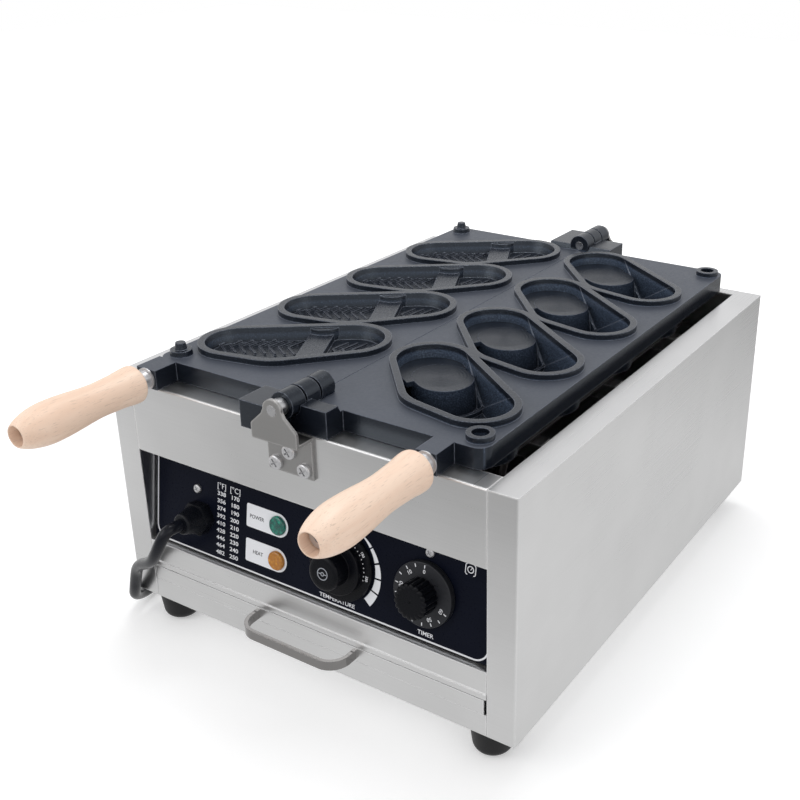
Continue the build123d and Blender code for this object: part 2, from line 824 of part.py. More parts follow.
# Wooden handles with a bolt through them and a washer at the lug
def handle(side, lug_inset):
    """The handle, its bolt and its washer, all turned about one line."""
    x = side * (plate_edge - lug_inset)
    lug_face = y_front - handle_lug_reach
    root = lug_face - washer_thickness
    tip = root - handle_length
    line = Axis((x, 0, handle_z), (0, 1, 0))
    with BuildPart() as wood:
        with BuildSketch(Plane((x, 0, handle_z), x_dir=(1, 0, 0), z_dir=(0, 0, 1))):
            with BuildLine():
                belly = tip + handle_length * belly_place
                Line((0, root), (handle_neck_radius, root))
                Spline(
                    (handle_neck_radius, root), (handle_belly_radius, belly),
                    tangents=((0.1, -1), (0, -1)),
                )
                Spline(
                    (handle_belly_radius, belly), (handle_end_radius, tip + 7),
                    tangents=((0, -1), (-0.45, -1)),
                )
                RadiusArc((handle_end_radius, tip + 7), (bolt_recess_radius, tip), 8)
                Line((bolt_recess_radius, tip), (0, tip))
                Line((0, tip), (0, root))
            make_face()
        revolve(axis=line)
        with BuildSketch(Plane.XZ.offset(-tip)):
            with Locations((x, handle_z)):
                Circle(bolt_recess_radius)
        extrude(amount=-bolt_recess_depth, mode=Mode.SUBTRACT)
        with BuildSketch(Plane.XZ.offset(-tip)):
            with Locations((x, handle_z)):
                Circle(handle_bore_radius)
        extrude(amount=-handle_length, mode=Mode.SUBTRACT)
    head = tip + bolt_recess_depth
    with BuildPart() as bolt:
        with BuildSketch(Plane.XZ.offset(-head)):
            with Locations((x, handle_z)):
                Circle(bolt_head_radius)
        extrude(amount=bolt_head_length)
        with BuildSketch(Plane.XZ.offset(-head)):
            with Locations((x, handle_z)):
                Circle(handle_bolt_radius)
        extrude(amount=-(lug_face - head + bolt_thread_length))
        with BuildSketch(Plane.XZ.offset(-(head - bolt_head_length))):
            with Locations((x, handle_z)):
                RegularPolygon(bolt_socket_radius, 6)
        extrude(amount=-bolt_socket_depth, mode=Mode.SUBTRACT)
    with BuildPart() as washer:
        with BuildSketch(Plane.XZ.offset(-root)):
            with Locations((x, handle_z)):
                Circle(washer_radius)
                Circle(handle_bore_radius, mode=Mode.SUBTRACT)
        extrude(amount=-washer_thickness)
    return wood, bolt, washer


for name, side, lug_inset in (
    ("left", -1, left_handle_inset), ("right", 1, right_handle_inset)
):
    wood, bolt, washer = handle(side, lug_inset)
    save(wood, name + "_handle")
    save(bolt, name + "_handle_bolt")
    save(washer, name + "_handle_washer")


# Control knobs with their shafts
def knob(u, v, steps, ribs):
    """A turned knob of (radius, height) steps, its bore open to the panel."""
    base = panel_plane.offset(knob_gap)
    with BuildPart() as piece:
        for radius, height in steps:
            with BuildSketch(base):
                with Locations((u, v)):
                    Circle(radius)
            extrude(amount=height)
        top = piece.faces().sort_by(Axis(panel_plane.origin, panel_plane.z_dir))[-1]
        fillet(top.edges(), 1.5)
        if ribs:
            radius, height = steps[-1]
            with BuildSketch(base.offset(steps[0][1])):
                with Locations((u, v)):
                    with PolarLocations(radius + 0.5, ribs):
                        Circle(groove_radius)
            extrude(amount=height, mode=Mode.SUBTRACT)
        with BuildSketch(base):
            with Locations((u, v)):
                Circle(shaft_bush_radius + 1.0)
        extrude(amount=shaft_bush_length, mode=Mode.SUBTRACT)
        with BuildSketch(base):
            with Locations((u, v)):
                Circle(shaft_radius)
        extrude(amount=steps[-1][1] - 6, mode=Mode.SUBTRACT)
    return piece


temperature_steps = (
    (skirt_radius, skirt_thickness), (dial_radius, dial_height), (grip_radius, grip_height)
)
timer_steps = (
    (timer_skirt_radius, timer_skirt_thickness), (timer_grip_radius, timer_grip_height)
)
save(knob(temperature_u, temperature_v, temperature_steps, 0), "temperature_knob")
save(knob(timer_u, timer_v, timer_steps, grip_ribs), "timer_knob")

switch_back = panel_back - hole_gap


def shaft(u, v, knob_height):
    """A control shaft from its switch to the inside of its knob."""
    with BuildPart() as piece:
        with BuildSketch(panel_plane.offset(switch_back - 8)):
            with Locations((u, v)):
                Circle(shaft_radius)
        extrude(amount=knob_gap + knob_height - 6 - switch_back + 8)
    return piece


save(shaft(temperature_u, temperature_v, grip_height), "thermostat_shaft")
save(shaft(timer_u, timer_v, timer_grip_height), "timer_shaft")


def switch_case(u, v, width, height, depth):
    """A control's case behind the panel, with its bush through the panel."""
    with BuildPart() as piece:
        with BuildSketch(panel_plane.offset(switch_back)):
            with Locations((u, v)):
                Rectangle(width, height)
        extrude(amount=-depth)
        fillet(piece.edges(), 1.5)
        with BuildSketch(panel_plane.offset(switch_back)):
            with Locations((u, v)):
                Circle(shaft_bush_radius)
        extrude(amount=-switch_back + shaft_bush_length)
        with BuildSketch(panel_plane.offset(switch_back - 9)):
            with Locations((u, v)):
                Circle(shaft_radius + 0.05)
        extrude(amount=20, mode=Mode.SUBTRACT)
    return piece


save(
    switch_case(temperature_u, temperature_v, thermostat_width, thermostat_height,
                thermostat_depth),
    "thermostat",
)
save(switch_case(timer_u, timer_v, timer_case, timer_case, timer_depth), "timer")


# Indicator lamps: a coloured lens on the panel and a body behind it
def lamp(v):
    """A lens with its rim on the panel, and the body that it screws to."""
    with BuildPart() as lens:
        with BuildSketch(panel_plane):
            with Locations((lamp_u, v)):
                Circle(lamp_lens_radius)
        extrude(amount=lamp_lens_height)
        crown = lens.faces().sort_by(Axis(panel_plane.origin, panel_plane.z_dir))[-1]
        fillet(crown.edges(), lamp_lens_height * dome_share)
    with BuildPart() as body:
        with BuildSketch(panel_plane):
            with Locations((lamp_u, v)):
                Circle(lamp_body_radius)
        extrude(amount=-lamp_body_length)
        with BuildSketch(panel_plane.offset(panel_back)):
            with Locations((lamp_u, v)):
                RegularPolygon(lamp_body_radius + lamp_nut_margin, 6)
        extrude(amount=-4)
    return lens, body


for name, v in (("power", power_lamp_v), ("heat", heat_lamp_v)):
    lens, body = lamp(v)
    save(lens, name + "_lamp_lens")
    save(body, name + "_lamp_body")

# Cable gland: hexagon body through the panel, dome nut in front, locknut behind
hex_radius = gland_nut_flats / 2 / math.cos(math.radians(30))
with BuildPart() as gland_body:
    with BuildSketch(panel_plane):
        with Locations((gland_u, gland_v)):
            RegularPolygon(hex_radius, 6)
    extrude(amount=gland_hex_height)
    with BuildSketch(panel_plane):
        with Locations((gland_u, gland_v)):
            Circle(gland_thread_radius)
    extrude(amount=-overlay_thickness - sheet - gland_thread_length)
    with BuildSketch(panel_plane.offset(gland_hex_height)):
        with Locations((gland_u, gland_v)):
            Circle(cord_radius)
    extrude(amount=-gland_hex_height - overlay_thickness - sheet - gland_thread_length,
            mode=Mode.SUBTRACT)
save(gland_body, "gland_body")

gland_exit = gland_hex_height + gland_dome_height
with BuildPart() as gland_nut:
    with BuildSketch(panel_plane.offset(gland_hex_height)):
        with Locations((gland_u, gland_v)):
            Circle(gland_dome_radius)
    with BuildSketch(panel_plane.offset(gland_exit)):
        with Locations((gland_u, gland_v)):
            Circle(gland_mouth_radius)
    loft()
    rim = gland_nut.faces().sort_by(Axis(panel_plane.origin, panel_plane.z_dir))[-1]
    fillet(rim.edges(), 2.0)
    with BuildSketch(panel_plane.offset(gland_hex_height)):
        with Locations((gland_u, gland_v)):
            Circle(cord_radius)
    extrude(amount=gland_dome_height, mode=Mode.SUBTRACT)
save(gland_nut, "gland_nut")

with BuildPart() as gland_locknut:
    with BuildSketch(panel_plane.offset(panel_back)):
        with Locations((gland_u, gland_v)):
            RegularPolygon(hex_radius, 6)
            Circle(gland_thread_radius, mode=Mode.SUBTRACT)
    extrude(amount=-gland_locknut_height)
save(gland_locknut, "gland_locknut")

# Mains cord: out of the gland, down the front left corner and back along the left side
cord_z = cord_radius + cord_floor_gap
coil_x = -x_side - coil_reach
coil_y = (y_front + y_back) / 2 + coil_setback
cord_start = panel_plane.from_local_coords(Vector(gland_u, gland_v, gland_exit - cord_seat))
cord_lead = cord_start + panel_normal * first_run
coil_entry = Vector(coil_x, coil_y - cord_diameter, cord_z)
# Points as (x, distance behind the case's front, z)
cord_points = [
    (-111.6, -26.3, 116.0), (-115.2, -29.9, 107.6), (-121.3, -30.4, 96.0),
    (-130.3, -27.8, 84.4), (-142.2, -23.8, 75.8), (-155.0, -19.2, 68.3),
    (-166.4, -14.6, 58.2), (-173.8, -11.2, 44.6), (-179.8, -8.6, 31.2),
    (-186.8, -4.4, 19.8), (-193.2, 4.7, 11.2), (-198.2, 18.8, 6.1),
    (-202.0, 39.0, cord_z), (-205.6, 69.0, cord_z), (-209.5, 111.0, cord_z),
    (-214.5, 163.0, cord_z), (-218.5, 207.0, cord_z), (-220.6, 242.0, cord_z),
]
route = [cord_start, cord_lead]
route += [Vector(x, y_front + y, z) for x, y, z in cord_points]
route += [Vector(coil_x, coil_y - 3 * cord_diameter, cord_z), coil_entry]


def bend_radii(points, share=0.45):
    """The largest tangent arcs that the runs beside each point allow."""
    radii = []
    for before, here, after in zip(points, points[1:], points[2:]):
        turn = math.radians((here - before).get_angle(after - here))
        shorter = min((here - before).length, (after - here).length)
        radii.append(share * shorter / math.tan(turn / 2))
    return radii


cord_radii = bend_radii(route)
print("cord bend radii in mm:", [round(radius, 1) for radius in cord_radii])
cord_section = math.pi * cord_radius ** 2
with BuildPart() as mains_cord:
    with BuildLine() as cord_path:
        FilletPolyline(*route, radius=cord_radii)
    with BuildSketch(Plane(cord_start, z_dir=panel_normal)):
        Circle(cord_radius)
    sweep()
cord_length = cord_path.wire().length
print("cord volume over section times length:",
      round(mains_cord.part.volume / (cord_section * cord_length), 4))
save(mains_cord, "mains_cord")


def biarc(start, start_way, end, end_way):
    """Two arcs that join two points with the given directions."""
    span = (end - start).length / 2
    middle = (start + start_way * span + end - end_way * span) * 0.5
    TangentArc(start, middle, tangent=start_way)
    TangentArc(end, middle, tangent=end_way * -1)


# Coil: three half turns in, one that climbs a layer, and three half turns out
coil_centre = Vector(coil_x - coil_start_radius, coil_y, cord_z)
inward = [coil_start_radius - coil_pitch / 2 * k for k in range(coil_half_turns + 1)]
stations = [(radius, 0.0) for radius in inward]
stations += [(radius, coil_layer_rise) for radius in reversed(inward)]
coil_points = [
    coil_centre + Vector(radius * (-1) ** k, 0, rise)
    for k, (radius, rise) in enumerate(stations)
]
coil_exit_way = Vector(0, (-1) ** (len(stations) - 1), 0)
coil_exit = coil_points[-1] + coil_exit_way * coil_tail
with BuildPart() as cord_coil:
    with BuildLine() as coil_path:
        Line(coil_entry, coil_points[0])
        for k in range(len(coil_points) - 1):
            way = Vector(0, (-1) ** k, 0)
            biarc(coil_points[k], way, coil_points[k + 1], way * -1)
        Line(coil_points[-1], coil_exit)
    with BuildSketch(Plane(coil_entry, z_dir=(0, 1, 0))):
        Circle(cord_radius)
    sweep()
coil_length = coil_path.wire().length
print("coil volume over section times length:",
      round(cord_coil.part.volume / (cord_section * coil_length), 4))
samples = 700
spots = [coil_path.wire().position_at(k / samples) for k in range(samples + 1)]
neighbours = int(math.ceil(3 * cord_diameter / (coil_length / samples)))
least = min(
    (spots[i] - spots[j]).length
    for i in range(0, samples, 2) for j in range(i + neighbours, samples, 2)
)
print("least gap between turns of the coil in mm:", round(least - cord_diameter, 2))
print("whole cord length in mm:", round(cord_length + coil_length))
save(cord_coil, "cord_coil")

# Moulded plug at the cord's end, with two round pins
plug_plane = Plane(coil_exit, x_dir=(1, 0, 0), z_dir=coil_exit_way)
with BuildPart() as mains_plug:
    with BuildSketch(plug_plane):
        Circle(plug_relief_radius - 1.5)
    with BuildSketch(plug_plane.offset(plug_relief_length)):
        Circle(plug_relief_radius)
    loft()
    with BuildSketch(plug_plane.offset(plug_relief_length)):
        RectangleRounded(plug_body_width, plug_body_height, plug_rounding)
    extrude(amount=plug_body_length)
    far_end = mains_plug.faces().filter_by(Axis.Y).group_by(Axis.Y)[0]
    fillet(far_end.edges(), plug_end_rounding)
save(mains_plug, "mains_plug")
with BuildPart() as plug_pins:
    with BuildSketch(plug_plane.offset(plug_relief_length + plug_body_length)):
        with GridLocations(plug_pin_spread, 1, 2, 1):
            Circle(plug_pin_radius)
    extrude(amount=plug_pin_length)
    tips = plug_pins.faces().filter_by(Axis.Y).group_by(Axis.Y)[0]
    fillet(tips.edges(), pin_rounding)
save(plug_pins, "plug_pins")

# Drip tray on two runners, with a bow handle
tray_half = x_cheek - tray_end_gap
tray_body_half = tray_half - tray_side_gap
z_tray_floor = z_tray + tray_lift
tray_back_face = y_front - tray_lip + sheet
with BuildPart() as drip_tray:
    wall(
        -tray_half, tray_half, y_front - tray_lip, tray_back_face,
        z_tray, z_tray + tray_front_height,
    )
    wall(
        -tray_body_half, tray_body_half, tray_back_face, y_front + tray_depth,
        z_tray_floor, z_tray_floor + tray_wall_height,
    )
    wall(
        -tray_body_half + tray_wall, tray_body_half - tray_wall, tray_back_face + tray_wall,
        y_front + tray_depth - tray_wall, z_tray_floor + tray_wall,
        z_tray_floor + tray_wall_height + 1, mode=Mode.SUBTRACT,
    )
save(drip_tray, "drip_tray")

z_handle = z_tray + tray_front_height / 2
tray_face = y_front - tray_lip
with BuildPart() as tray_handle:
    with BuildSketch(Plane.XY.offset(z_handle - tray_handle_bar_height / 2)):
        with BuildLine():
            outer = FilletPolyline(
                (-tray_handle_half_width, tray_face),
                (-tray_handle_half_width, tray_face - tray_handle_reach),
                (tray_handle_half_width, tray_face - tray_handle_reach),
                (tray_handle_half_width, tray_face),
                radius=tray_handle_corner,
            )
            inner = FilletPolyline(
                (-tray_handle_half_width + tray_handle_bar, tray_face),
                (-tray_handle_half_width + tray_handle_bar,
                 tray_face - tray_handle_reach + tray_handle_bar),
                (tray_handle_half_width - tray_handle_bar,
                 tray_face - tray_handle_reach + tray_handle_bar),
                (tray_handle_half_width - tray_handle_bar, tray_face),
                radius=tray_handle_corner - tray_handle_bar,
            )
            Line(outer @ 0, inner @ 0)
            Line(outer @ 1, inner @ 1)
        make_face()
    extrude(amount=tray_handle_bar_height)
save(tray_handle, "tray_handle")

runner_reach = back_inner - sheet - runner_shelf
for name, side in (("left_tray_runner", -1), ("right_tray_runner", 1)):
    runner_top = z_tray_floor - runner_gap
    with BuildPart() as runner:
        wall(
            side * (back_inner - sheet), side * (back_inner - 2 * sheet), deck_front + 1,
            y_back - runner_back_gap, z_floor, runner_top,
        )
        wall(
            side * (back_inner - sheet), side * runner_reach, deck_front + 1,
            y_back - runner_back_gap, runner_top - sheet, runner_top,
        )
    save(runner, name)

# Rubber feet and the bolts that hold them
for name, (x, y) in foot_places.items():
    with BuildPart() as foot:
        with BuildSketch(Plane.XY.offset(z_base)):
            with Locations((x, y)):
                Circle(foot_radius)
        with BuildSketch(Plane.XY):
            with Locations((x, y)):
                Circle(foot_bottom_radius)
        loft()
        fillet(foot.faces().sort_by(Axis.Z)[0].edges(), foot_rounding)
        with BuildSketch(Plane.XY.offset(z_base)):
            with Locations((x, y)):
                Circle(foot_bolt_radius)
        extrude(amount=-foot_bolt_well, mode=Mode.SUBTRACT)
    save(foot, name)

with BuildPart() as foot_bolts:
    for x, y in foot_places.values():
        with BuildSketch(Plane.XY.offset(z_base - foot_bolt_length)):
            with Locations((x, y)):
                Circle(foot_bolt_radius)
        extrude(amount=foot_bolt_length + sheet)
        with BuildSketch(Plane.XY.offset(z_floor)):
            with Locations((x, y)):
                RegularPolygon(foot_bolt_head, 6)
        extrude(amount=4)
save(foot_bolts, "foot_bolts")

# Heater deck between the moulds and the controls
terminal_y = y_front + heater_terminal_inset
heater_runs = {"left": heater_runs_left, "right": tuple(-x for x in heater_runs_left)}
with BuildPart() as heater_deck:
    wall(-back_inner, back_inner, deck_front, y_back - sheet, deck_z - sheet, deck_z)
    for side in (-1, 1):
        wall(
            side * back_inner, side * (back_inner - sheet), deck_front, y_back - sheet,
            deck_z - sheet, deck_z + deck_flange,
        )
    for runs in heater_runs.values():
        with Locations(*[(x, terminal_y, deck_z) for x in (runs[0], runs[-1])]):
            Cylinder(heater_radius + 0.5, 4 * sheet, mode=Mode.SUBTRACT)
    with Locations((0, terminal_y, deck_z)):
        Cylinder(3.0, 4 * sheet, mode=Mode.SUBTRACT)
save(heater_deck, "heater_deck")


def heating_element(runs):
    """One tube that runs back and forth under a plate, with both ends turned down."""
    near = y_front + heater_end_inset
    far = y_back - heater_end_inset
    bottom = deck_z - heater_terminal_drop
    points = [(runs[0], terminal_y, bottom), (runs[0], terminal_y, heater_z)]
    points += [(runs[0], far, heater_z), (runs[1], far, heater_z)]
    points += [(runs[1], near, heater_z), (runs[2], near, heater_z)]
    points += [(runs[2], far, heater_z), (runs[3], far, heater_z)]
    points += [(runs[3], terminal_y, heater_z), (runs[3], terminal_y, bottom)]
    with BuildPart() as element:
        with BuildLine():
            FilletPolyline(*points, radius=heater_bend)
        with BuildSketch(Plane(points[0], z_dir=(0, 0, 1))):
            Circle(heater_radius)
        sweep()
    return element


for name, runs in heater_runs.items():
    save(heating_element(runs), name + "_heating_element")

# Bars on the deck that carry the heating elements
support_height = heater_z - heater_radius - deck_z - 0.1
support_span = heater_runs_left[-1] - heater_runs_left[0] + 2 * support_margin
support_start = y_front + support_front_gap
support_end = y_back - support_back_gap
support_step = (support_end - support_start) / (support_count - 1)
with BuildPart() as heater_supports:
    for k in range(support_count):
        for runs in heater_runs.values():
            middle = (runs[0] + runs[-1]) / 2
            y = support_start + support_step * k
            wall(
                middle - support_span / 2, middle + support_span / 2, y - support_width / 2,
                y + support_width / 2, deck_z, deck_z + support_height,
            )
            wall(
                middle - support_span / 2 - 1, middle + support_span / 2 + 1,
                y - support_width / 2 + sheet, y + support_width / 2 - sheet, deck_z - 1,
                deck_z + support_height - sheet, mode=Mode.SUBTRACT,
            )
save(heater_supports, "heater_supports")

# Contactor and terminal block on the bottom pan
contactor_y = y_front + contactor_place[1]
z_parts = z_tray_floor + tray_wall_height + shelf_lift
contactor_floor = z_parts - sheet
with BuildPart() as electrics_shelf:
    wall(-back_inner + sheet, back_inner - sheet, y_front + shelf_front_gap, y_front + shelf_back_end,
         contactor_floor, z_parts)
    for side in (-1, 1):
        wall(
            side * (back_inner - sheet), side * (back_inner - 2 * sheet), y_front + shelf_front_gap,
            y_front + shelf_back_end, contactor_floor, z_parts + deck_flange,
        )
save(electrics_shelf, "electrics_shelf")
with BuildPart() as contactor:
    with Locations((contactor_place[0], contactor_y, z_parts)):
        slab(*contactor_size)
    fillet(contactor.edges().filter_by(Axis.Z), 2)
    with Locations((contactor_place[0], contactor_y, z_parts + contactor_size[2])):
        slab(contactor_size[0] * 0.7, contactor_size[1] * 0.4, 6)
save(contactor, "contactor")
terminal_y_mid = y_front + terminal_place[1]
with BuildPart() as terminal_block:
    with Locations((terminal_place[0], terminal_y_mid, z_parts)):
        slab(*terminal_size)
    with Locations((terminal_place[0], terminal_y_mid, z_parts + terminal_size[2])):
        with GridLocations(terminal_pitch, 1, 4, 1):
            Cylinder(screw_well_radius, 2 * screw_well, mode=Mode.SUBTRACT)
save(terminal_block, "terminal_block")

# Capillary and bulb of the thermostat, up through the deck
bulb_y = terminal_y + bulb_setback
thermostat_rear = panel_plane.from_local_coords(
    Vector(temperature_u, temperature_v, switch_back - thermostat_depth)
)
with BuildPart() as thermostat_bulb:
    with BuildSketch(Plane.XZ.offset(-bulb_y)):
        with Locations((0, deck_z + bulb_radius)):
            Circle(bulb_radius)
    extrude(amount=-bulb_length)
save(thermostat_bulb, "thermostat_bulb")
capillary_points = [
    thermostat_rear, thermostat_rear - panel_normal * 14,
    Vector(temperature_u - 14, terminal_y - 10, deck_z - 40),
    Vector(0, terminal_y, deck_z - 24), Vector(0, terminal_y, deck_z + bulb_radius),
    Vector(0, bulb_y, deck_z + bulb_radius),
]
with BuildPart() as capillary:
    with BuildLine():
        FilletPolyline(
            *capillary_points,
            radius=[min(capillary_bend, r) for r in bend_radii(capillary_points)],
        )
    with BuildSketch(Plane(capillary_points[0], z_dir=(panel_normal * -1))):
        Circle(capillary_radius)
    sweep()
save(capillary, "thermostat_capillary")

# Sheathed lead from the gland to the terminal block
lead_seat = panel_back - gland_thread_length
lead_end = Vector(gland_u, terminal_y_mid - terminal_size[1] / 2, z_parts + terminal_size[2] / 2)
lead_points = [
    cord_start,
    panel_plane.from_local_coords(Vector(gland_u, gland_v, lead_seat - lead_run)),
    lead_end - Vector(0, 2 * lead_bend, 0),
    lead_end,
]
with BuildPart() as supply_lead:
    with BuildLine():
        FilletPolyline(*lead_points, radius=[min(lead_bend, r) for r in bend_radii(lead_points)])
    with BuildSketch(Plane(cord_start, z_dir=panel_normal * -1)):
        Circle(cord_radius)
    sweep()
save(supply_lead, "supply_lead")

# Internal leads from the terminal block to the heaters and the contactor
lead_top = deck_z - heater_terminal_drop
terminal_top = z_parts + terminal_size[2]
with BuildPart() as internal_leads:
    for k, x in enumerate((heater_runs["left"][0], heater_runs["left"][-1])):
        start = (terminal_place[0] + (2 * k - 1.5) * terminal_pitch, terminal_y_mid,
                 terminal_top - screw_well)
        points = [start, (start[0], start[1], start[2] + 12), (x, terminal_y, lead_top - 14),
                  (x, terminal_y, lead_top)]
        points = [Vector(*point) for point in points]
        with BuildLine():
            FilletPolyline(*points, radius=[min(wire_bend, r) for r in bend_radii(points)])
        with BuildSketch(Plane(points[0], z_dir=(0, 0, 1))):
            Circle(wire_radius)
        sweep()
    contactor_top = z_parts + contactor_size[2]
    for x, offset in (
    (heater_runs["right"][0], lead_spread), (heater_runs["right"][-1], -lead_spread),
):
        start = (contactor_place[0] + offset, contactor_y - 26, contactor_top)
        points = [start, (start[0], start[1], start[2] + 8), (x, terminal_y, lead_top - 12),
                  (x, terminal_y, lead_top)]
        points = [Vector(*point) for point in points]
        with BuildLine():
            FilletPolyline(*points, radius=[min(wire_bend, r) for r in bend_radii(points)])
        with BuildSketch(Plane(points[0], z_dir=(0, 0, 1))):
            Circle(wire_radius)
        sweep()
save(internal_leads, "internal_leads")
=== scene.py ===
"""The looks of a countertop waffle maker: its studio, finishes, print, knobs and cord."""

import math

import bmesh
import bpy
from bpy.props import FloatProperty, FloatVectorProperty, IntProperty, PointerProperty
from bpy.types import NodeSocket, Operator, Panel, PropertyGroup
from mathutils import Matrix, Vector


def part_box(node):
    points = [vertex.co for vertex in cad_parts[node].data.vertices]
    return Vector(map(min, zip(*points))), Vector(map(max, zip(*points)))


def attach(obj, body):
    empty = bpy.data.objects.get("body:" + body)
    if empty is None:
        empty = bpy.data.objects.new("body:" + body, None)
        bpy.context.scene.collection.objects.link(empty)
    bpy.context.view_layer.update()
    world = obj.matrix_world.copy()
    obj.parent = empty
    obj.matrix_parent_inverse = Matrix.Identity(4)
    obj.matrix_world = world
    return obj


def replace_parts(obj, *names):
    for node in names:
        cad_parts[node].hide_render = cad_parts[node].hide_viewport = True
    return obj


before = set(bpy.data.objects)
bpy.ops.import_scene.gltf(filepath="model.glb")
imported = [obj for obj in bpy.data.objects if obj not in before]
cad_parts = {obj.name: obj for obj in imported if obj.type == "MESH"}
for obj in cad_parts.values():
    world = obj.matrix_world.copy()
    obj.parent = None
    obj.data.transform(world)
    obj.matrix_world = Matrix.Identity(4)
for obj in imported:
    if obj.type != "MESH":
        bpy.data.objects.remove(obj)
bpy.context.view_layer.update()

bl_info = {
    "name": "Shoe waffle maker",
    "version": (1, 0, 0),
    "blender": (4, 5, 0),
    "location": "3D View > Sidebar > Waffle maker",
    "description": "Builds the finishes, the panel print, the knobs and the cord of a waffle maker",
    "category": "Object",
}

# Places on the object, in millimetres except where MM or a comment makes them metres
MM = 0.001
case_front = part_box("left_side_panel")[0][1]
PANEL_TILT = math.radians(9)
PANEL_FOOT = Vector((0, case_front + 5 * MM, 80.5 * MM))
TEMPERATURE_AT = (31.3, 36.5)
TIMER_AT = (105.4, 38.2)
LAMPS_AT = ((-31.0, 48.1), (-31.0, 19.2))
GLAND_AT = (-110.0, 32.3)
INK_LOW, INK_HIGH = -0.05, 0.12
MOULD_COUNT, MOULD_X, MOULD_SLANT = 4, 78 * MM, math.radians(26)
RIB_MIDDLE, RIB_RADII = (-26, 5), (30, 32.4)
LEDGE_LOW, LEDGE_HIGH = 228.6, 232.7
# Metres: the rib's floor and top, and where bands of the plates' finish begin and end
RIB_FLOOR, RIB_TOP = 0.2158, 0.2312
DECK_HEIGHTS = (0.2372, 0.2378, 0.2388, 0.2398)
ISLAND_HEIGHTS = (0.2310, 0.2322, 0.2350, 0.2370)
MOULDS_ALONG = (-0.1645, -0.1635, 0.2590, 0.2600)
CAMERA_AT, CAMERA_AIM = (0.484721, -0.710099, 0.568537), (-0.057277, 0.157415, 0.130)
COIL_MIDDLE = (-281.0, 112.05)
COIL_RADII = (60.0, 54.1, 48.2, 42.3)
LOWER_TURNS, UPPER_TURNS = 5.05, 16.25


# Shared helpers: meshes ------------------------------------------------------------------
def panel_place(u=0.0, v=0.0, n=0.0):
    """The matrix from millimetres on the control panel to metres in the shared frame."""
    across = Vector((1, 0, 0))
    up = Vector((0, math.sin(PANEL_TILT), math.cos(PANEL_TILT)))
    out = Vector((0, -math.cos(PANEL_TILT), math.sin(PANEL_TILT)))
    turn = Matrix((across, up, out)).transposed().to_4x4()
    shift = Matrix.Translation(PANEL_FOOT)
    return shift @ turn @ Matrix.Scale(MM, 4) @ Matrix.Translation((u, v, n))


def made(finish):
    """A finish that has already been made."""
    return bpy.data.materials[finish]


def dress(node, finish):
    """Give a CAD node's mesh one of the finishes."""
    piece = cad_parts[node]
    if not piece.material_slots:
        piece.data.materials.append(made(finish))
    for slot in piece.material_slots:
        slot.material = made(finish)


def new_piece(name, mesh, body, finish):
    """Link a mesh as a finished piece that rides on a body and takes a slot's finish."""
    piece = bpy.data.objects.new(name, mesh)
    bpy.context.scene.collection.objects.link(piece)
    mesh.materials.clear()
    mesh.materials.append(made(finish))
    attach(piece, body)
    return piece


def plain_mesh(shape, name):
    """The mesh of a shape in the making, which is then let go."""
    mesh = bpy.data.meshes.new(name)
    shape.to_mesh(mesh)
    shape.free()
    return mesh


def mark_smooth(mesh, angle):
    """Smooth shading that keeps every edge sharper than the angle, in degrees."""
    limit = math.radians(angle)
    shape = bmesh.new()
    shape.from_mesh(mesh)
    for edge in shape.edges:
        edge.smooth = edge.calc_face_angle(0) < limit
    for face in shape.faces:
        face.smooth = True
    shape.to_mesh(mesh)
    shape.free()


def evaluated_mesh(holder):
    """A new plain mesh of what an object's curve, word or modifiers come to."""
    bpy.context.view_layer.update()
    seen = holder.evaluated_get(bpy.context.evaluated_depsgraph_get())
    return bpy.data.meshes.new_from_object(seen)


def settle(piece):
    """Turn a piece's modifiers into plain mesh."""
    mesh = evaluated_mesh(piece)
    piece.modifiers.clear()
    piece.data = mesh


def rounded_copy(node, body, finish, angle=30, reshape=None):
    """A welded, smooth-shaded copy of a CAD node that stands for it."""
    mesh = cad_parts[node].data.copy()
    for layer in [a for a in mesh.attributes if a.name == "custom_normal"]:
        mesh.attributes.remove(layer)
    shape = bmesh.new()
    shape.from_mesh(mesh)
    bmesh.ops.remove_doubles(shape, verts=shape.verts, dist=2e-6)
    if reshape:
        for vertex in shape.verts:
            vertex.co = reshape(vertex.co)
    shape.to_mesh(mesh)
    shape.free()
    mark_smooth(mesh, angle)
    piece = new_piece(node + "_skin", mesh, body, finish)
    for face in piece.data.polygons:
        face.material_index = 0
    weigh = piece.modifiers.new("even", "WEIGHTED_NORMAL")
    weigh.keep_sharp = True
    settle(piece)
    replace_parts(piece, node)
    return piece


def turned(profile, steps):
    """A closed shape from a profile of (radius, height) points turned about Z."""
    shape = bmesh.new()
    rings = [
        [
            shape.verts.new((*polar((0, 0), radius, 360 * k / steps), height))
            for k in range(steps if radius else 1)
        ]
        for radius, height in profile
    ]
    for low, high in zip(rings, rings[1:]):
        for k in range(steps):
            nxt = (k + 1) % steps
            if len(low) == 1:
                shape.faces.new((low[0], high[k], high[nxt]))
            elif len(high) == 1:
                shape.faces.new((low[k], high[0], low[nxt]))
            else:
                shape.faces.new((low[k], high[k], high[nxt], low[nxt]))
    bmesh.ops.recalc_face_normals(shape, faces=shape.faces)
    return plain_mesh(shape, "turned")


def curve_to_mesh(curve, low, high):
    """The mesh of a flat curve or word, as thick as the space between two heights."""
    curve.extrude = (high - low) / 2
    holder = bpy.data.objects.new("holder", curve)
    bpy.context.scene.collection.objects.link(holder)
    mesh = evaluated_mesh(holder)
    bpy.data.objects.remove(holder)
    mesh.transform(Matrix.Translation((0, 0, (low + high) / 2)))
    return mesh


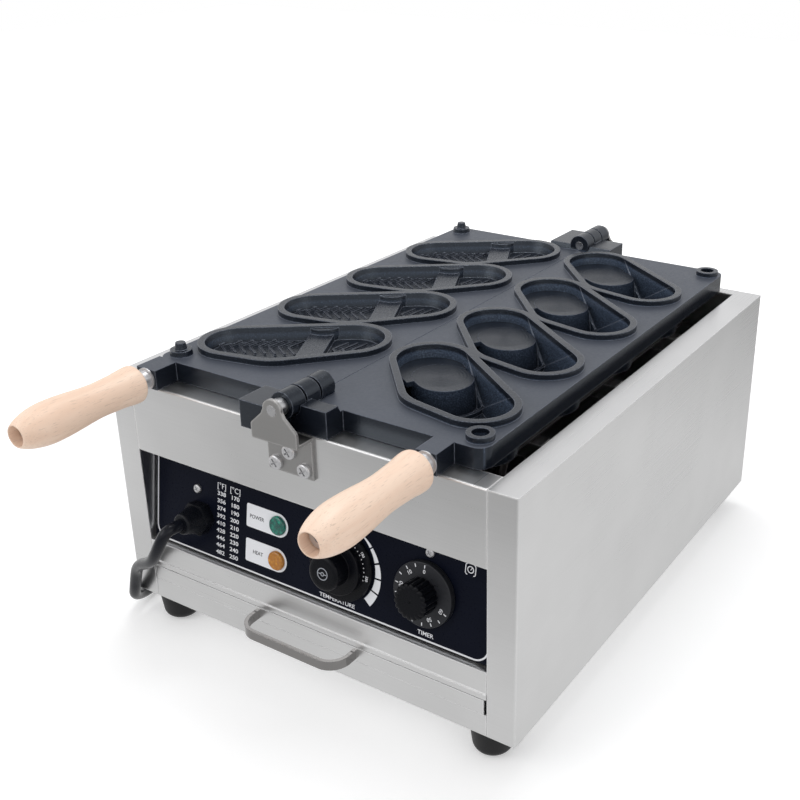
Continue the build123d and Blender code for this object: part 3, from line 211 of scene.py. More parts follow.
def slab(outline, low, high, holes=()):
    """A thin closed slab between two heights, from an outline and optional holes."""
    curve = bpy.data.curves.new("outline", "CURVE")
    curve.dimensions = "2D"
    curve.fill_mode = "BOTH"
    for ring in (outline, *holes):
        spline = curve.splines.new("POLY")
        spline.points.add(len(ring) - 1)
        for point, (x, y) in zip(spline.points, ring):
            point.co = (x, y, 0, 1)
        spline.use_cyclic_u = True
    return curve_to_mesh(curve, low, high)


def inked(outline, *holes):
    """A slab as thin as print, from an outline and optional holes."""
    return slab(outline, INK_LOW, INK_HIGH, holes)


def word(text, size, weight=0.0, wide=1.0, low=INK_LOW, high=INK_HIGH):
    """A word as a thin slab, centred on the origin, in millimetres."""
    curve = bpy.data.curves.new("word", "FONT")
    curve.body = text
    curve.size = size
    curve.align_x = "CENTER"
    curve.align_y = "CENTER"
    curve.resolution_u = 4
    curve.offset = weight
    mesh = curve_to_mesh(curve, low, high)
    mesh.transform(Matrix.Diagonal((wide, 1, 1, 1)))
    return mesh


def gather(name, parts, body, finish):
    """Join meshes, each with its own place, into one piece."""
    shape = bmesh.new()
    for mesh, place in parts:
        mesh.transform(place)
        shape.from_mesh(mesh)
        bpy.data.meshes.remove(mesh)
    return new_piece(name, plain_mesh(shape, name), body, finish)


def polar(centre, radius, angle):
    """The point at a distance and an angle in degrees from a centre."""
    turn = math.radians(angle)
    return centre[0] + radius * math.cos(turn), centre[1] + radius * math.sin(turn)


def arc(centre, radius, start, end, steps):
    """Points along a circle from one angle to another, in degrees."""
    return [polar(centre, radius, start + (end - start) * k / steps) for k in range(steps + 1)]


def hoop(outer, inner, points):
    """A flat printed ring about the origin."""
    return inked(*(
        arc((0, 0), radius, 0, 360 - 360 / points, points - 1) for radius in (outer, inner)
    ))


def toned(colour, factor, lift=0.0):
    """A colour made darker or paler by a factor, and no brighter than white."""
    return tuple(min(1.0, factor * c + lift) for c in colour)


def facing_turn(place, aim):
    """The rotation that points a camera or a light from its place at its aim."""
    return (Vector(aim) - Vector(place)).to_track_quat("-Z", "Y").to_euler()


# Shared helpers: node trees --------------------------------------------------------------
class Graph:
    """A node tree, with short calls that add its nodes and join them."""

    def __init__(self, tree):
        self.tree = tree

    def node(self, kind, inputs=(), **settings):
        """Add a node, set its options and feed its inputs by name or by number."""
        added = self.tree.nodes.new(kind)
        for key, value in settings.items():
            setattr(added, key, value)
        for socket, value in dict(inputs).items():
            self.feed(added.inputs[socket], value)
        return added

    def feed(self, socket, value):
        if isinstance(value, NodeSocket):
            self.tree.links.new(value, socket)
        else:
            socket.default_value = value

    def maths(self, operation, *values):
        return self.node("ShaderNodeMath", enumerate(values), operation=operation).outputs[0]

    def times(self, first, *others):
        for value in others:
            first = self.maths("MULTIPLY", first, value)
        return first

    def plus(self, first, second):
        return self.maths("ADD", first, second)

    def minus(self, first, second):
        return self.maths("SUBTRACT", first, second)

    def reach(self, x, y):
        """The distance of a point from the axis that x and y are measured from."""
        return self.maths("SQRT", self.plus(self.times(x, x), self.times(y, y)))

    def span(self, value, low, high, to_low=0.0, to_high=1.0, smooth=False):
        """Map one range of values to another, and hold the ends."""
        return self.node("ShaderNodeMapRange", {
            "Value": value, "From Min": low, "From Max": high,
            "To Min": to_low, "To Max": to_high,
        }, interpolation_type="SMOOTHSTEP" if smooth else "LINEAR").outputs["Result"]

    def band(self, value, rise, rise_end, fall, fall_end):
        """One between the rise's end and the fall, and nothing beyond them."""
        return self.times(self.span(value, rise, rise_end), self.span(value, fall_end, fall))

    def blend(self, factor, first, second):
        first, second = (
            value if isinstance(value, NodeSocket) else (*value, 1) for value in (first, second)
        )
        mix = {0: factor, 6: first, 7: second}
        return self.node("ShaderNodeMix", mix, data_type="RGBA").outputs[2]

    def axes(self, vector):
        parts = self.node("ShaderNodeSeparateXYZ", {"Vector": vector}).outputs
        return parts["X"], parts["Y"], parts["Z"]


class Finish(Graph):
    """A material of nodes about one shader, with patterns on Object coordinates."""

    def __init__(self, name, colour, roughness, metallic=0.0, **sockets):
        self.material = bpy.data.materials.new(name)
        self.material.use_nodes = True
        super().__init__(self.material.node_tree)
        self.shader = self.tree.nodes["Principled BSDF"]
        self.put(Base_Color=(*colour, 1), Roughness=roughness, Metallic=metallic, **sockets)
        coordinates = self.node("ShaderNodeTexCoord").outputs
        self.place = coordinates["Object"]
        self.facing = coordinates["Normal"]
        self.normal = None

    def put(self, **sockets):
        """Feed the shader's sockets, named with _ for each space."""
        for socket, value in sockets.items():
            self.feed(self.shader.inputs[socket.replace("_", " ")], value)

    def stretch(self, scale):
        return self.node("ShaderNodeMapping", {
            "Vector": self.place, "Scale": scale,
        }).outputs["Vector"]

    def noise(self, vector, scale, detail=2.0, roughness=0.5, distortion=0.0):
        return self.node("ShaderNodeTexNoise", {
            "Vector": vector, "Scale": scale, "Detail": detail, "Roughness": roughness,
            "Distortion": distortion,
        }).outputs["Fac"]

    def spread(self, texture, low=0.0, high=1.0):
        """The middle of a noise's range, spread between two values."""
        return self.span(texture, 0.3, 0.7, low, high)

    def soft_edges(self, radius, samples=4):
        """Round the look of every edge, and return how near to an edge a point is."""
        bevel = self.node("ShaderNodeBevel", {"Radius": radius}, samples=samples)
        self.normal = bevel.outputs["Normal"]
        self.put(Normal=self.normal)
        geometry = self.node("ShaderNodeNewGeometry")
        product = self.node("ShaderNodeVectorMath", {
            0: self.normal, 1: geometry.outputs["Normal"],
        }, operation="DOT_PRODUCT")
        return self.span(product.outputs["Value"], 0.995, 0.86)

    def bump(self, height, strength, distance=0.0001):
        raised = self.node("ShaderNodeBump", {
            "Height": height, "Strength": strength, "Distance": distance,
        })
        if self.normal is not None:
            self.feed(raised.inputs["Normal"], self.normal)
        self.put(Normal=raised.outputs["Normal"])


# Finishes --------------------------------------------------------------------------------
def brushed_steel(name, colour, roughness, grain=1.0, edge=1.4):
    """Stainless sheet, brushed level on its walls and along the case on its flat tops; every edge
    gets a painted highlight, made paler by the edge factor and not metallic.
    """
    steel = Finish(name, colour, roughness, 1.0)
    level, lengthways = (
        steel.noise(steel.stretch(scale), 1.0, 3.0, 0.6) for scale in ((7, 7, 1500), (1500, 7, 7))
    )
    upward = steel.axes(steel.facing)[2]
    flat = steel.span(steel.maths("ABSOLUTE", upward), 0.6, 0.8)
    mix = {0: flat, 2: level, 3: lengthways}
    lines = steel.node("ShaderNodeMix", mix, data_type="FLOAT").outputs[0]
    cloud = steel.noise(steel.place, 7.0, 3.0, 0.55)
    edge_highlight_mask = steel.soft_edges(0.0016)
    tone = steel.plus(steel.spread(lines, -0.012, 0.012), steel.spread(cloud, -0.05, 0.05))
    body = steel.blend(steel.span(tone, -0.08, 0.08), toned(colour, 0.86), toned(colour, 1.08))
    # Painted highlight: the edges take a paler, non-metallic colour so that they show as bright
    # lines.
    steel.put(
        Base_Color=steel.blend(edge_highlight_mask, body, toned(colour, edge)),
        Metallic=steel.minus(1.0, edge_highlight_mask),
        Roughness=steel.span(steel.plus(lines, cloud), 0.7, 1.3,
                             roughness - 0.03, roughness + 0.03),
    )
    steel.bump(lines, 0.012 * grain)


def polished_metal(name, colour, roughness):
    """Bright turned or plated metal with faint handling marks."""
    metal = Finish(name, colour, roughness, 1.0)
    marks = metal.noise(metal.place, 260.0, 4.0, 0.6)
    metal.soft_edges(0.0004)
    metal.put(Base_Color=metal.blend(marks, toned(colour, 0.9), colour),
              Roughness=metal.spread(marks, roughness * 0.8, roughness * 1.35))
    metal.bump(marks, 0.05)


def plain_moulded(name, colour, roughness, texture=2400.0, depth=0.12, **sockets):
    """Moulded plastic or rubber with a fine skin texture and a soft painted highlight along its
    edges.
    """
    skin = Finish(name, colour, roughness, 0.0, **sockets)
    fine = skin.noise(skin.place, texture, 2.0)
    broad = skin.noise(skin.place, 45.0, 3.0)
    edge_highlight_mask = skin.soft_edges(0.0006)
    tone = skin.blend(skin.spread(broad), toned(colour, 0.82), colour)
    # Painted highlight: the edges are painted paler than the body.
    skin.put(Base_Color=skin.blend(edge_highlight_mask, tone, toned(colour, 1.5, 0.012)),
             Roughness=skin.spread(fine, roughness - 0.06, roughness + 0.08))
    skin.bump(fine, depth)


def mould_coating(settings):
    """Cast plates: slate decks, blue-black speckled moulds, turned rings on the islands; the decks'
    paleness beside the dark walls is partly painted overhead light, and painted glints and edge
    highlights are added.
    """
    coat = Finish("plate_coating", settings.deck_colour, settings.gloss, 0.0,
                  Specular_Tint=(0.78, 0.88, 1.0, 1.0))
    x, y, z = coat.axes(coat.place)
    level = coat.span(coat.axes(coat.facing)[2], 0.80, 0.97, smooth=True)
    on_deck = coat.times(level, coat.band(z, *DECK_HEIGHTS))
    speckle = coat.noise(coat.place, 1000.0, 2.0, 0.7)
    grit = coat.noise(coat.place, 480.0, 3.0, 0.6)
    cloud = coat.noise(coat.place, 16.0, 3.0, 0.55)
    edge_highlight_mask = coat.soft_edges(0.0012, 6)
    deck = coat.blend(coat.spread(cloud), toned(settings.deck_colour, 0.86),
                      toned(settings.deck_colour, 1.12))
    # The moulds' own part of the plates, and on it the steep walls, deep ones and rims; the deep
    # walls and the walls' upper band carry painted glints
    inside = coat.times(coat.span(coat.maths("ABSOLUTE", x), 0.1475, 0.1465),
                        coat.band(y, *MOULDS_ALONG))
    steep = coat.times(coat.span(level, 0.5, 0.0), inside)
    deep = coat.times(steep, coat.span(x, -0.002, 0.002), coat.span(z, 0.2120, 0.2300, 0.2, 0.7))
    upper = coat.times(steep, coat.span(z, 0.2335, 0.2375), 0.4)
    below_rims = coat.span(z, 0.2398, 0.2380)
    # Flecks: the coating's own speckle, with denser, paler flecks on the deep and upper walls as
    # painted glints.
    flecks = coat.plus(coat.span(speckle, 0.60, 0.72, 0.0, 0.35), coat.times(
        below_rims, coat.plus(deep, upper), coat.span(speckle, 0.40, 0.62, 0.35, 0.9)))
    wall = coat.blend(coat.times(flecks, inside), settings.wall_colour, settings.fleck_colour)
    # Painted highlight along the edges, broken up by the grit.
    edge_highlight = coat.times(edge_highlight_mask, coat.span(grit, 0.35, 0.65, 0.3, 1.0))
    roughness = coat.span(on_deck, 0.0, 1.0, settings.gloss - 0.20, settings.gloss + 0.02)
    # Paler deck colour on upward faces and dark wall colour elsewhere: partly the coating's own
    # tones, partly painted overhead light.
    coat.put(Base_Color=coat.blend(edge_highlight, coat.blend(on_deck, wall, deck), settings.worn_colour),
             Roughness=coat.plus(roughness, coat.spread(grit, -0.05, 0.05)))
    # Turned rings on the islands, repeated from mould to mould
    half_step = settings.mould_pitch * MM / 2
    island_x, island_y = settings.island_x * MM, settings.island_y * MM
    along = coat.maths("WRAP", y, island_y + half_step, island_y - half_step)
    reach = coat.reach(coat.minus(x, island_x), coat.minus(along, island_y))
    rings = coat.maths("SINE", coat.times(reach, math.tau / (2.6 * MM)))
    on_island = coat.times(coat.span(reach, 0.0215, 0.020), coat.band(z, *ISLAND_HEIGHTS))
    height = coat.plus(coat.times(rings, on_island, 0.9), coat.plus(coat.spread(speckle), grit))
    strength = coat.plus(0.07, coat.times(inside, coat.span(on_deck, 1.0, 0.0, 0.03, 0.19)))
    coat.bump(height, strength, 0.00035)


def beech(settings):
    """Pale beech: long soft bands with short fine flecks along the handle."""
    pale, dark = settings.wood_pale, settings.wood_dark
    wood = Finish("beech_wood", pale, 0.46, 0.0, Coat_Weight=0.12, Coat_Roughness=0.35)
    bands = wood.noise(wood.stretch((95, 5, 95)), 1.0, 4.0, 0.6, 0.8)
    flecks = wood.noise(wood.stretch((1500, 90, 1500)), 1.0)
    knots = wood.noise(wood.stretch((18, 6, 18)), 1.0)
    wood.soft_edges(0.0012)
    tone = wood.blend(wood.span(bands, 0.34, 0.66), pale, dark)
    tone = wood.blend(wood.span(knots, 0.45, 0.75, 0.0, 0.35), tone, dark)
    tone = wood.blend(wood.span(flecks, 0.60, 0.68, 0.0, 0.55), tone, toned(dark, 0.72))
    wood.put(Base_Color=tone, Roughness=wood.spread(bands, 0.40, 0.54))
    wood.bump(wood.plus(bands, wood.times(flecks, -0.6)), 0.16, 0.0003)


def cut_lens(name, colour, deep):
    """Coloured lamp lens with small facets pressed into its back; each facet gets a painted light
    or dark tone and painted shade towards its edge.
    """
    lens = Finish(name, colour, 0.14, 0.0, Transmission_Weight=0.25, Coat_Weight=0.6,
                  Coat_Roughness=0.06, IOR=1.49)
    cells = lens.node("ShaderNodeTexVoronoi", {"Vector": lens.place, "Scale": 360.0})
    # Painted light: each facet is painted its own tone between the deep and the bright colour, as
    # if lit from its own side.
    facet_light = lens.axes(cells.outputs["Color"])[0]
    lens.soft_edges(0.0005)
    tone = lens.blend(facet_light, deep, colour)
    # Painted shade: each facet darkens towards its edge.
    shade = lens.span(cells.outputs["Distance"], 0.0, 0.7)
    lens.put(Base_Color=lens.blend(shade, tone, deep))
    lens.bump(cells.outputs["Distance"], 0.5, 0.0006)


def printed_ink(name, colour):
    """Screen-printed ink with a slightly uneven film."""
    ink = Finish(name, colour, 0.42)
    film = ink.noise(ink.place, 900.0, 3.0)
    ink.put(Base_Color=ink.blend(film, toned(colour, 0.94), colour),
            Roughness=ink.spread(film, 0.36, 0.50))
    ink.bump(film, 0.05, 0.00005)


def panel_film(colour):
    """The panel's black film: satin with a faint blue cast and fine orange peel."""
    film = Finish("panel_film", colour, 0.30, 0.0, Specular_IOR_Level=0.05)
    peel = film.noise(film.place, 700.0)
    cloud = film.noise(film.place, 12.0)
    film.soft_edges(0.0004)
    film.put(Base_Color=film.blend(film.spread(cloud), colour, toned(colour, 1.6)),
             Roughness=film.spread(peel, 0.26, 0.34))
    film.bump(peel, 0.06)


def ringed_disc(name, colour, centre, roughness):
    """A control's dark disc with fine turned rings about its own centre."""
    disc = Finish(name, colour, roughness, 0.2, Specular_IOR_Level=0.3)
    middle = tuple(panel_place(*centre).translation)
    moved = disc.node("ShaderNodeVectorMath", {0: disc.place, 1: middle}, operation="SUBTRACT")
    length = disc.node("ShaderNodeVectorMath", {0: moved.outputs["Vector"]}, operation="LENGTH")
    rings = disc.maths("SINE", disc.times(length.outputs["Value"], math.tau / (0.45 * MM)))
    uneven = disc.noise(disc.place, 420.0, 3.0)
    disc.soft_edges(0.0005)
    disc.put(Base_Color=disc.blend(uneven, toned(colour, 0.8), toned(colour, 1.25)),
             Roughness=disc.spread(uneven, roughness - 0.05, roughness + 0.05))
    disc.bump(disc.plus(disc.times(rings, 0.5), uneven), 0.12)


def cord_sheath(colour):
    """Black cord sheath: soft gloss with a faint lengthwise mottle."""
    sheath = Finish("cord_sheath", colour, 0.20, 0.0, Specular_IOR_Level=0.22)
    mottle = sheath.noise(sheath.place, 160.0, 3.0)
    fine = sheath.noise(sheath.place, 2600.0)
    sheath.put(Base_Color=sheath.blend(mottle, toned(colour, 0.7), toned(colour, 1.5)),
               Roughness=sheath.spread(mottle, 0.16, 0.26))
    sheath.bump(fine, 0.06)


# Shared helpers: geometry nodes ----------------------------------------------------------
class Rule(Graph):
    """A geometry node tree with named inputs, and the calls that end and run it."""

    def __init__(self, name, finish, **sizes):
        super().__init__(bpy.data.node_groups.new(name, "GeometryNodeTree"))
        sockets = self.tree.interface
        sockets.new_socket("Geometry", in_out="OUTPUT", socket_type="NodeSocketGeometry")
        self.values = {**sizes, "Material": made(finish)}
        for label, value in self.values.items():
            kind = label if label == "Material" else type(value).__name__.capitalize()
            sockets.new_socket(label, in_out="INPUT", socket_type="NodeSocket" + kind)
        start = self.node("NodeGroupInput").outputs
        self.sizes = [start[label] for label in sizes]
        self.finish = start["Material"]

    def position(self):
        return self.axes(self.node("GeometryNodeInputPosition").outputs["Position"])

    def joined(self, x=0.0, y=0.0, z=0.0):
        return self.node("ShaderNodeCombineXYZ", {"X": x, "Y": y, "Z": z}).outputs["Vector"]

    def moved(self, geometry, x, y, z):
        return self.node("GeometryNodeSetPosition", {
            "Geometry": geometry, "Position": self.joined(x, y, z),
        }).outputs["Geometry"]

    def grow(self, geometry, angle=None):
        """End the tree, run it on an empty object and return its result as a mesh."""
        real = self.node("GeometryNodeRealizeInstances", {"Geometry": geometry})
        painted = self.node("GeometryNodeSetMaterial", {
            "Geometry": real.outputs["Geometry"], "Material": self.finish,
        })
        self.node("NodeGroupOutput", {"Geometry": painted.outputs["Geometry"]})
        holder = bpy.data.objects.new("holder", bpy.data.meshes.new("holder"))
        bpy.context.scene.collection.objects.link(holder)
        modifier = holder.modifiers.new("rule", "NODES")
        modifier.node_group = self.tree
        for item in self.tree.interface.items_tree:
            if item.in_out == "INPUT":
                modifier[item.identifier] = self.values[item.name]
        mesh = evaluated_mesh(holder)
        bpy.data.objects.remove(holder)
        if angle:
            mark_smooth(mesh, angle)
        return mesh


def radial_marks(count, first, step, inner, outer, thick, ink):
    """Printed ticks on a circle, each from the inner to the outer radius."""
    rule = Rule("radial_marks", ink, Count=count, First=first, Step=step, Inner=inner,
                Outer=outer, Thick=thick, Low=INK_LOW, High=INK_HIGH)
    count, first, step, inner, outer, thick, low, high = rule.sizes
    points = rule.node("GeometryNodePoints", {"Count": count}).outputs[0]
    index = rule.node("GeometryNodeInputIndex").outputs["Index"]
    turn = rule.plus(first, rule.times(index, step))
    middle = rule.times(rule.plus(inner, outer), 0.5)
    placed = rule.moved(points, rule.times(middle, rule.maths("COSINE", turn)),
                        rule.times(middle, rule.maths("SINE", turn)),
                        rule.times(rule.plus(low, high), 0.5))
    size = rule.joined(rule.minus(outer, inner), thick, rule.minus(high, low))
    bar = rule.node("GeometryNodeMeshCube", {"Size": size})
    spread = rule.node("GeometryNodeInstanceOnPoints", {
        "Points": placed, "Instance": bar.outputs["Mesh"], "Rotation": rule.joined(z=turn),
    })
    return rule.grow(spread.outputs["Instances"])


def fluted_grip(radius, height, flutes, depth, rounding, plastic):
    """A knob's grip: a cylinder whose wall waves in and out and whose top edge is rounded."""
    rule = Rule("fluted_grip", plastic, Radius=radius, Height=height, Flutes=flutes,
                Depth=depth, Rounding=rounding)
    radius, height, flutes, depth, rounding = rule.sizes
    body = rule.node("GeometryNodeMeshCylinder", {
        "Vertices": rule.times(flutes, 10.0), "Side Segments": 24, "Fill Segments": 6,
        "Radius": radius, "Depth": height,
    }, fill_type="NGON")
    x, y, z = rule.position()
    reach = rule.reach(x, y)
    turn = rule.times(rule.maths("ARCTAN2", y, x), rule.times(flutes, 0.5))
    wave = rule.maths("POWER", rule.maths("ABSOLUTE", rule.maths("SINE", turn)), 0.55)
    dip = rule.times(depth, rule.minus(1.0, wave))
    top = rule.times(height, 0.5)
    over = rule.maths("DIVIDE", rule.minus(z, rule.minus(top, rounding)), rounding)
    over = rule.maths("MAXIMUM", 0.0, over)
    bow = rule.maths("MAXIMUM", 0.0, rule.minus(1.0, rule.times(over, over)))
    inset = rule.times(rounding, rule.minus(1.0, rule.maths("SQRT", bow)))
    factor = rule.maths("DIVIDE", rule.minus(reach, rule.plus(dip, inset)),
                        rule.maths("MAXIMUM", reach, 0.001))
    shaped = rule.moved(body.outputs["Mesh"], rule.times(x, factor), rule.times(y, factor),
                        rule.plus(z, top))
    return rule.grow(shaped, 40)


def lathe(profile, length, radius, sides, wood):
    """A turned piece: two curves give its (height, radius) along the profile."""
    rule = Rule("lathe", wood, Length=length, Radius=radius, Sides=sides,
                Rows=len(profile) * 4 - 4)
    length, radius, sides, rows = rule.sizes
    tube = rule.node("GeometryNodeMeshCylinder", {
        "Vertices": sides, "Side Segments": rows, "Radius": 1.0, "Depth": 1.0,
    }, fill_type="NONE")
    x, y, z = rule.position()
    along = rule.plus(z, 0.5)
    curves = []
    for column in (0, 1):
        graph = rule.node("ShaderNodeFloatCurve", {"Value": along})
        line = graph.mapping.curves[0]
        while len(line.points) < len(profile):
            line.points.new(0.5, 0.5)
        for index, row in enumerate(profile):
            line.points[index].location = (index / (len(profile) - 1), row[column])
            line.points[index].handle_type = "AUTO_CLAMPED"
        graph.mapping.update()
        curves.append(graph.outputs["Value"])
    wide = rule.times(curves[1], radius)
    shaped = rule.moved(tube.outputs["Mesh"], rule.times(x, wide), rule.times(y, wide),
                        rule.times(curves[0], length))
    welded = rule.node("GeometryNodeMergeByDistance", {"Geometry": shaped, "Distance": 0.001})
    return rule.grow(welded.outputs["Geometry"], 48)


# Settings --------------------------------------------------------------------------------
def colour_setting(name, description, default):
    """A colour that a user may change."""
    return FloatVectorProperty(name=name, description=description, default=default,
                               subtype="COLOR", min=0.0, max=1.0)


def number_setting(name, description, default, low, high, **more):
    """A number that a user may change, with its least and greatest value."""
    return FloatProperty(name=name, description=description, default=default,
                         min=low, max=high, **more)


def count_setting(name, description, default, low, high):
    """A whole number that a user may change."""
    return IntProperty(name=name, description=description, default=default, min=low, max=high)


class SteelSettings(PropertyGroup):
    """Colours of the sheet metal."""
    sheet_colour: colour_setting(
        "Sheet colour", "Colour of the stainless case", (0.70, 0.70, 0.70))
    bracket_colour: colour_setting(
        "Bracket colour", "Colour of the hinge brackets", (0.36, 0.355, 0.35))
    roughness: number_setting(
        "Sheet roughness", "How satin the brushed sheet looks", 0.30, 0.05, 0.9)


class PlateSettings(PropertyGroup):
    """Colours of the coated plates and the places of their island rings."""
    # Partly painted light: the decks are paler than the walls as if lit from overhead.
    deck_colour: colour_setting(
        "Deck colour", "Colour of the plates' flat tops", (0.050, 0.056, 0.072))
    wall_colour: colour_setting(
        "Wall colour", "Colour of the moulds' walls and the plates' sides", (0.007, 0.009, 0.014))
    # Also the colour of the painted glints on the moulds' deep and upper walls.
    fleck_colour: colour_setting(
        "Fleck colour", "Colour of the coating's speckle", (0.080, 0.108, 0.160))
    # Colour of the painted highlight along the plates' edges.
    worn_colour: colour_setting(
        "Worn colour", "Colour of the coating's worn edges", (0.17, 0.185, 0.23))
    gloss: number_setting(
        "Coating roughness", "Roughness of the non-stick coating", 0.42, 0.1, 0.9)
    mould_pitch: number_setting(
        "Mould pitch", "Distance between moulds, in millimetres", 94.0, 50.0, 150.0)
    island_x: number_setting(
        "Island across", "Middle of the islands' rings across, in millimetres", 50.9, 0.0, 150.0)
    island_y: number_setting(
        "Island along", "Middle of the first island's rings, in millimetres", -71.0, -200.0, 200.0)


class WoodSettings(PropertyGroup):
    """Colours of the handles."""
    wood_pale: colour_setting(
        "Pale grain", "Colour of the wood between its bands", (0.94, 0.73, 0.58))
    wood_dark: colour_setting("Dark grain", "Colour of the wood's bands", (0.86, 0.62, 0.47))


class PanelSettings(PropertyGroup):
    """Colours and counts of the control panel's print."""
    film_colour: colour_setting(
        "Film colour", "Colour of the black panel film", (0.0035, 0.0045, 0.0095))
    ink_colour: colour_setting("Ink colour", "Colour of the white print", (0.80, 0.81, 0.84))
    timer_marks: count_setting("Timer marks", "Number of marks on the timer dial", 13, 2, 60)
    timer_sweep: number_setting(
        "Timer sweep", "Angle that the timer's scale covers", math.radians(249), 0.1, math.tau,
        subtype="ANGLE")
    flutes: count_setting("Grip flutes", "Number of flutes round the timer's grip", 18, 6, 60)


class CordSettings(PropertyGroup):
    """Size and colour of the mains cord."""
    diameter: number_setting(
        "Diameter", "Outside diameter of the cord", 0.0095, 0.002, 0.02, unit="LENGTH")
    length: number_setting(
        "Length", "Length of the cord from the gland to the plug", 1.60, 0.5, 5.0, unit="LENGTH")
    cord_colour: colour_setting("Cord colour", "Colour of the cord's sheath", (0.006, 0.007, 0.011))


class StageSettings(PropertyGroup):
    """Strengths of the studio's lights."""
    key_power: number_setting(
        "Key light", "Power of the large light at the left front", 9.0, 0.0, 500.0, unit="POWER")
    fill_power: number_setting(
        "Fill light", "Power of the light at the right", 2.5, 0.0, 500.0, unit="POWER")
    top_power: number_setting(
        "Top light", "Power of the light overhead", 9.0, 0.0, 500.0, unit="POWER")


SETTINGS = {
    "waffle_steel": SteelSettings, "waffle_plates": PlateSettings, "waffle_wood": WoodSettings,
    "waffle_panel": PanelSettings, "waffle_cord": CordSettings, "waffle_stage": StageSettings,
}


# Operators -------------------------------------------------------------------------------
class WAFFLE_OT_stage(Operator):
    """Set up the camera, the soft lights, the white surroundings and the pale floor"""
    bl_idname = "waffle.stage"
    bl_label = "Studio"

    def execute(self, context):
        settings = context.scene.waffle_stage
        scene = context.scene
        scene.view_settings.view_transform = "Standard"
        camera = bpy.data.objects.new("camera", bpy.data.cameras.new("camera"))
        scene.collection.objects.link(camera)
        camera.location = CAMERA_AT
        camera.rotation_euler = facing_turn(CAMERA_AT, CAMERA_AIM)
        camera.data.sensor_width = 36
        camera.data.lens = 50.185
        camera.data.shift_x = -0.10
        camera.data.shift_y = -0.0375
        scene.camera = camera
        self.surroundings(scene)
        self.floor(scene)
        for name, place, aim, size, power in (
            ("key", (-0.9, -1.5, 1.3), (0, 0, 0.12), 1.3, settings.key_power),
            ("fill", (1.9, -0.5, 0.8), (0, 0, 0.12), 1.0, settings.fill_power),
            ("top", (-0.1, 0.35, 1.7), (0, 0, 0.1), 0.7, settings.top_power),
        ):
            light = bpy.data.lights.new(name, "AREA")
            light.shape = "SQUARE"
            light.size = size
            light.energy = power
            lamp = bpy.data.objects.new(name, light)
            lamp.location = place
            lamp.rotation_euler = facing_turn(place, aim)
            scene.collection.objects.link(lamp)
        return {"FINISHED"}

    def surroundings(self, scene):
        """A white view for the eye, and a softly graded room for metal to mirror."""
        scene.world = bpy.data.worlds.new("studio")
        scene.world.use_nodes = True
        room = Graph(scene.world.node_tree)
        upward = room.axes(room.node("ShaderNodeTexCoord").outputs["Generated"])[2]
        height = room.node("ShaderNodeValToRGB", {"Fac": room.span(upward, -1.0, 1.0)})
        stops = height.color_ramp.elements
        stops[0].color = (0.62, 0.62, 0.63, 1)
        stops[1].color = (0.78, 0.79, 0.80, 1)
        for place, level in ((0.46, 0.70), (0.60, 0.95), (0.72, 1.05), (0.84, 0.62)):
            stops.new(place).color = (level, level, level * 1.01, 1)
        rays = room.node("ShaderNodeLightPath").outputs
        background = room.tree.nodes["Background"].inputs
        room.feed(background["Color"],
                  room.blend(rays["Is Camera Ray"], height.outputs["Color"], (1, 1, 1)))
        room.feed(background["Strength"],
                  room.maths("MULTIPLY_ADD", rays["Is Diffuse Ray"], -0.12, 1.0))

    def floor(self, scene):
        """A pale floor that keeps the shadow and reads as white to the eye."""
        shape = bmesh.new()
        bmesh.ops.create_grid(shape, x_segments=8, y_segments=8, size=4.0)
        floor = bpy.data.objects.new("floor", plain_mesh(shape, "floor"))
        scene.collection.objects.link(floor)
        floor.location = (0, 0, -0.0004)
        paint = Finish("floor_paint", (0.82, 0.82, 0.82), 0.6)
        grain = paint.noise(paint.place, 30.0, 3.0)
        paint.put(Base_Color=paint.blend(grain, (0.81, 0.81, 0.81), (0.84, 0.84, 0.84)))
        rays = paint.node("ShaderNodeLightPath").outputs
        x, y, _ = paint.axes(paint.place)
        # What metal mirrors of the floor: front, back, near right, far right and left
        tone = paint.times(*(paint.span(*reach) for reach in (
            (y, -0.62, -0.26, 0.50, 0.88), (y, 0.35, 0.85, 1.0, 0.66),
            (x, 0.20, 0.33, 0.86, 1.0), (x, 0.40, 0.62, 1.0, 0.86),
            (x, -0.30, -0.46, 1.0, 1.35),
        )))
        mirrored = paint.node("ShaderNodeEmission", {"Strength": tone})
        lift = paint.node("ShaderNodeEmission", {"Strength": paint.times(
            rays["Is Camera Ray"], paint.span(paint.reach(x, y), 0.5, 1.6, 0.32, 0.8))})
        lit = paint.node("ShaderNodeAddShader", {
            0: paint.shader.outputs["BSDF"], 1: lift.outputs["Emission"],
        })
        both = paint.node("ShaderNodeMixShader", {
            0: rays["Is Glossy Ray"], 1: lit.outputs["Shader"], 2: mirrored.outputs["Emission"],
        })
        out = paint.tree.nodes["Material Output"]
        paint.feed(out.inputs["Surface"], both.outputs["Shader"])
        floor.data.materials.append(paint.material)


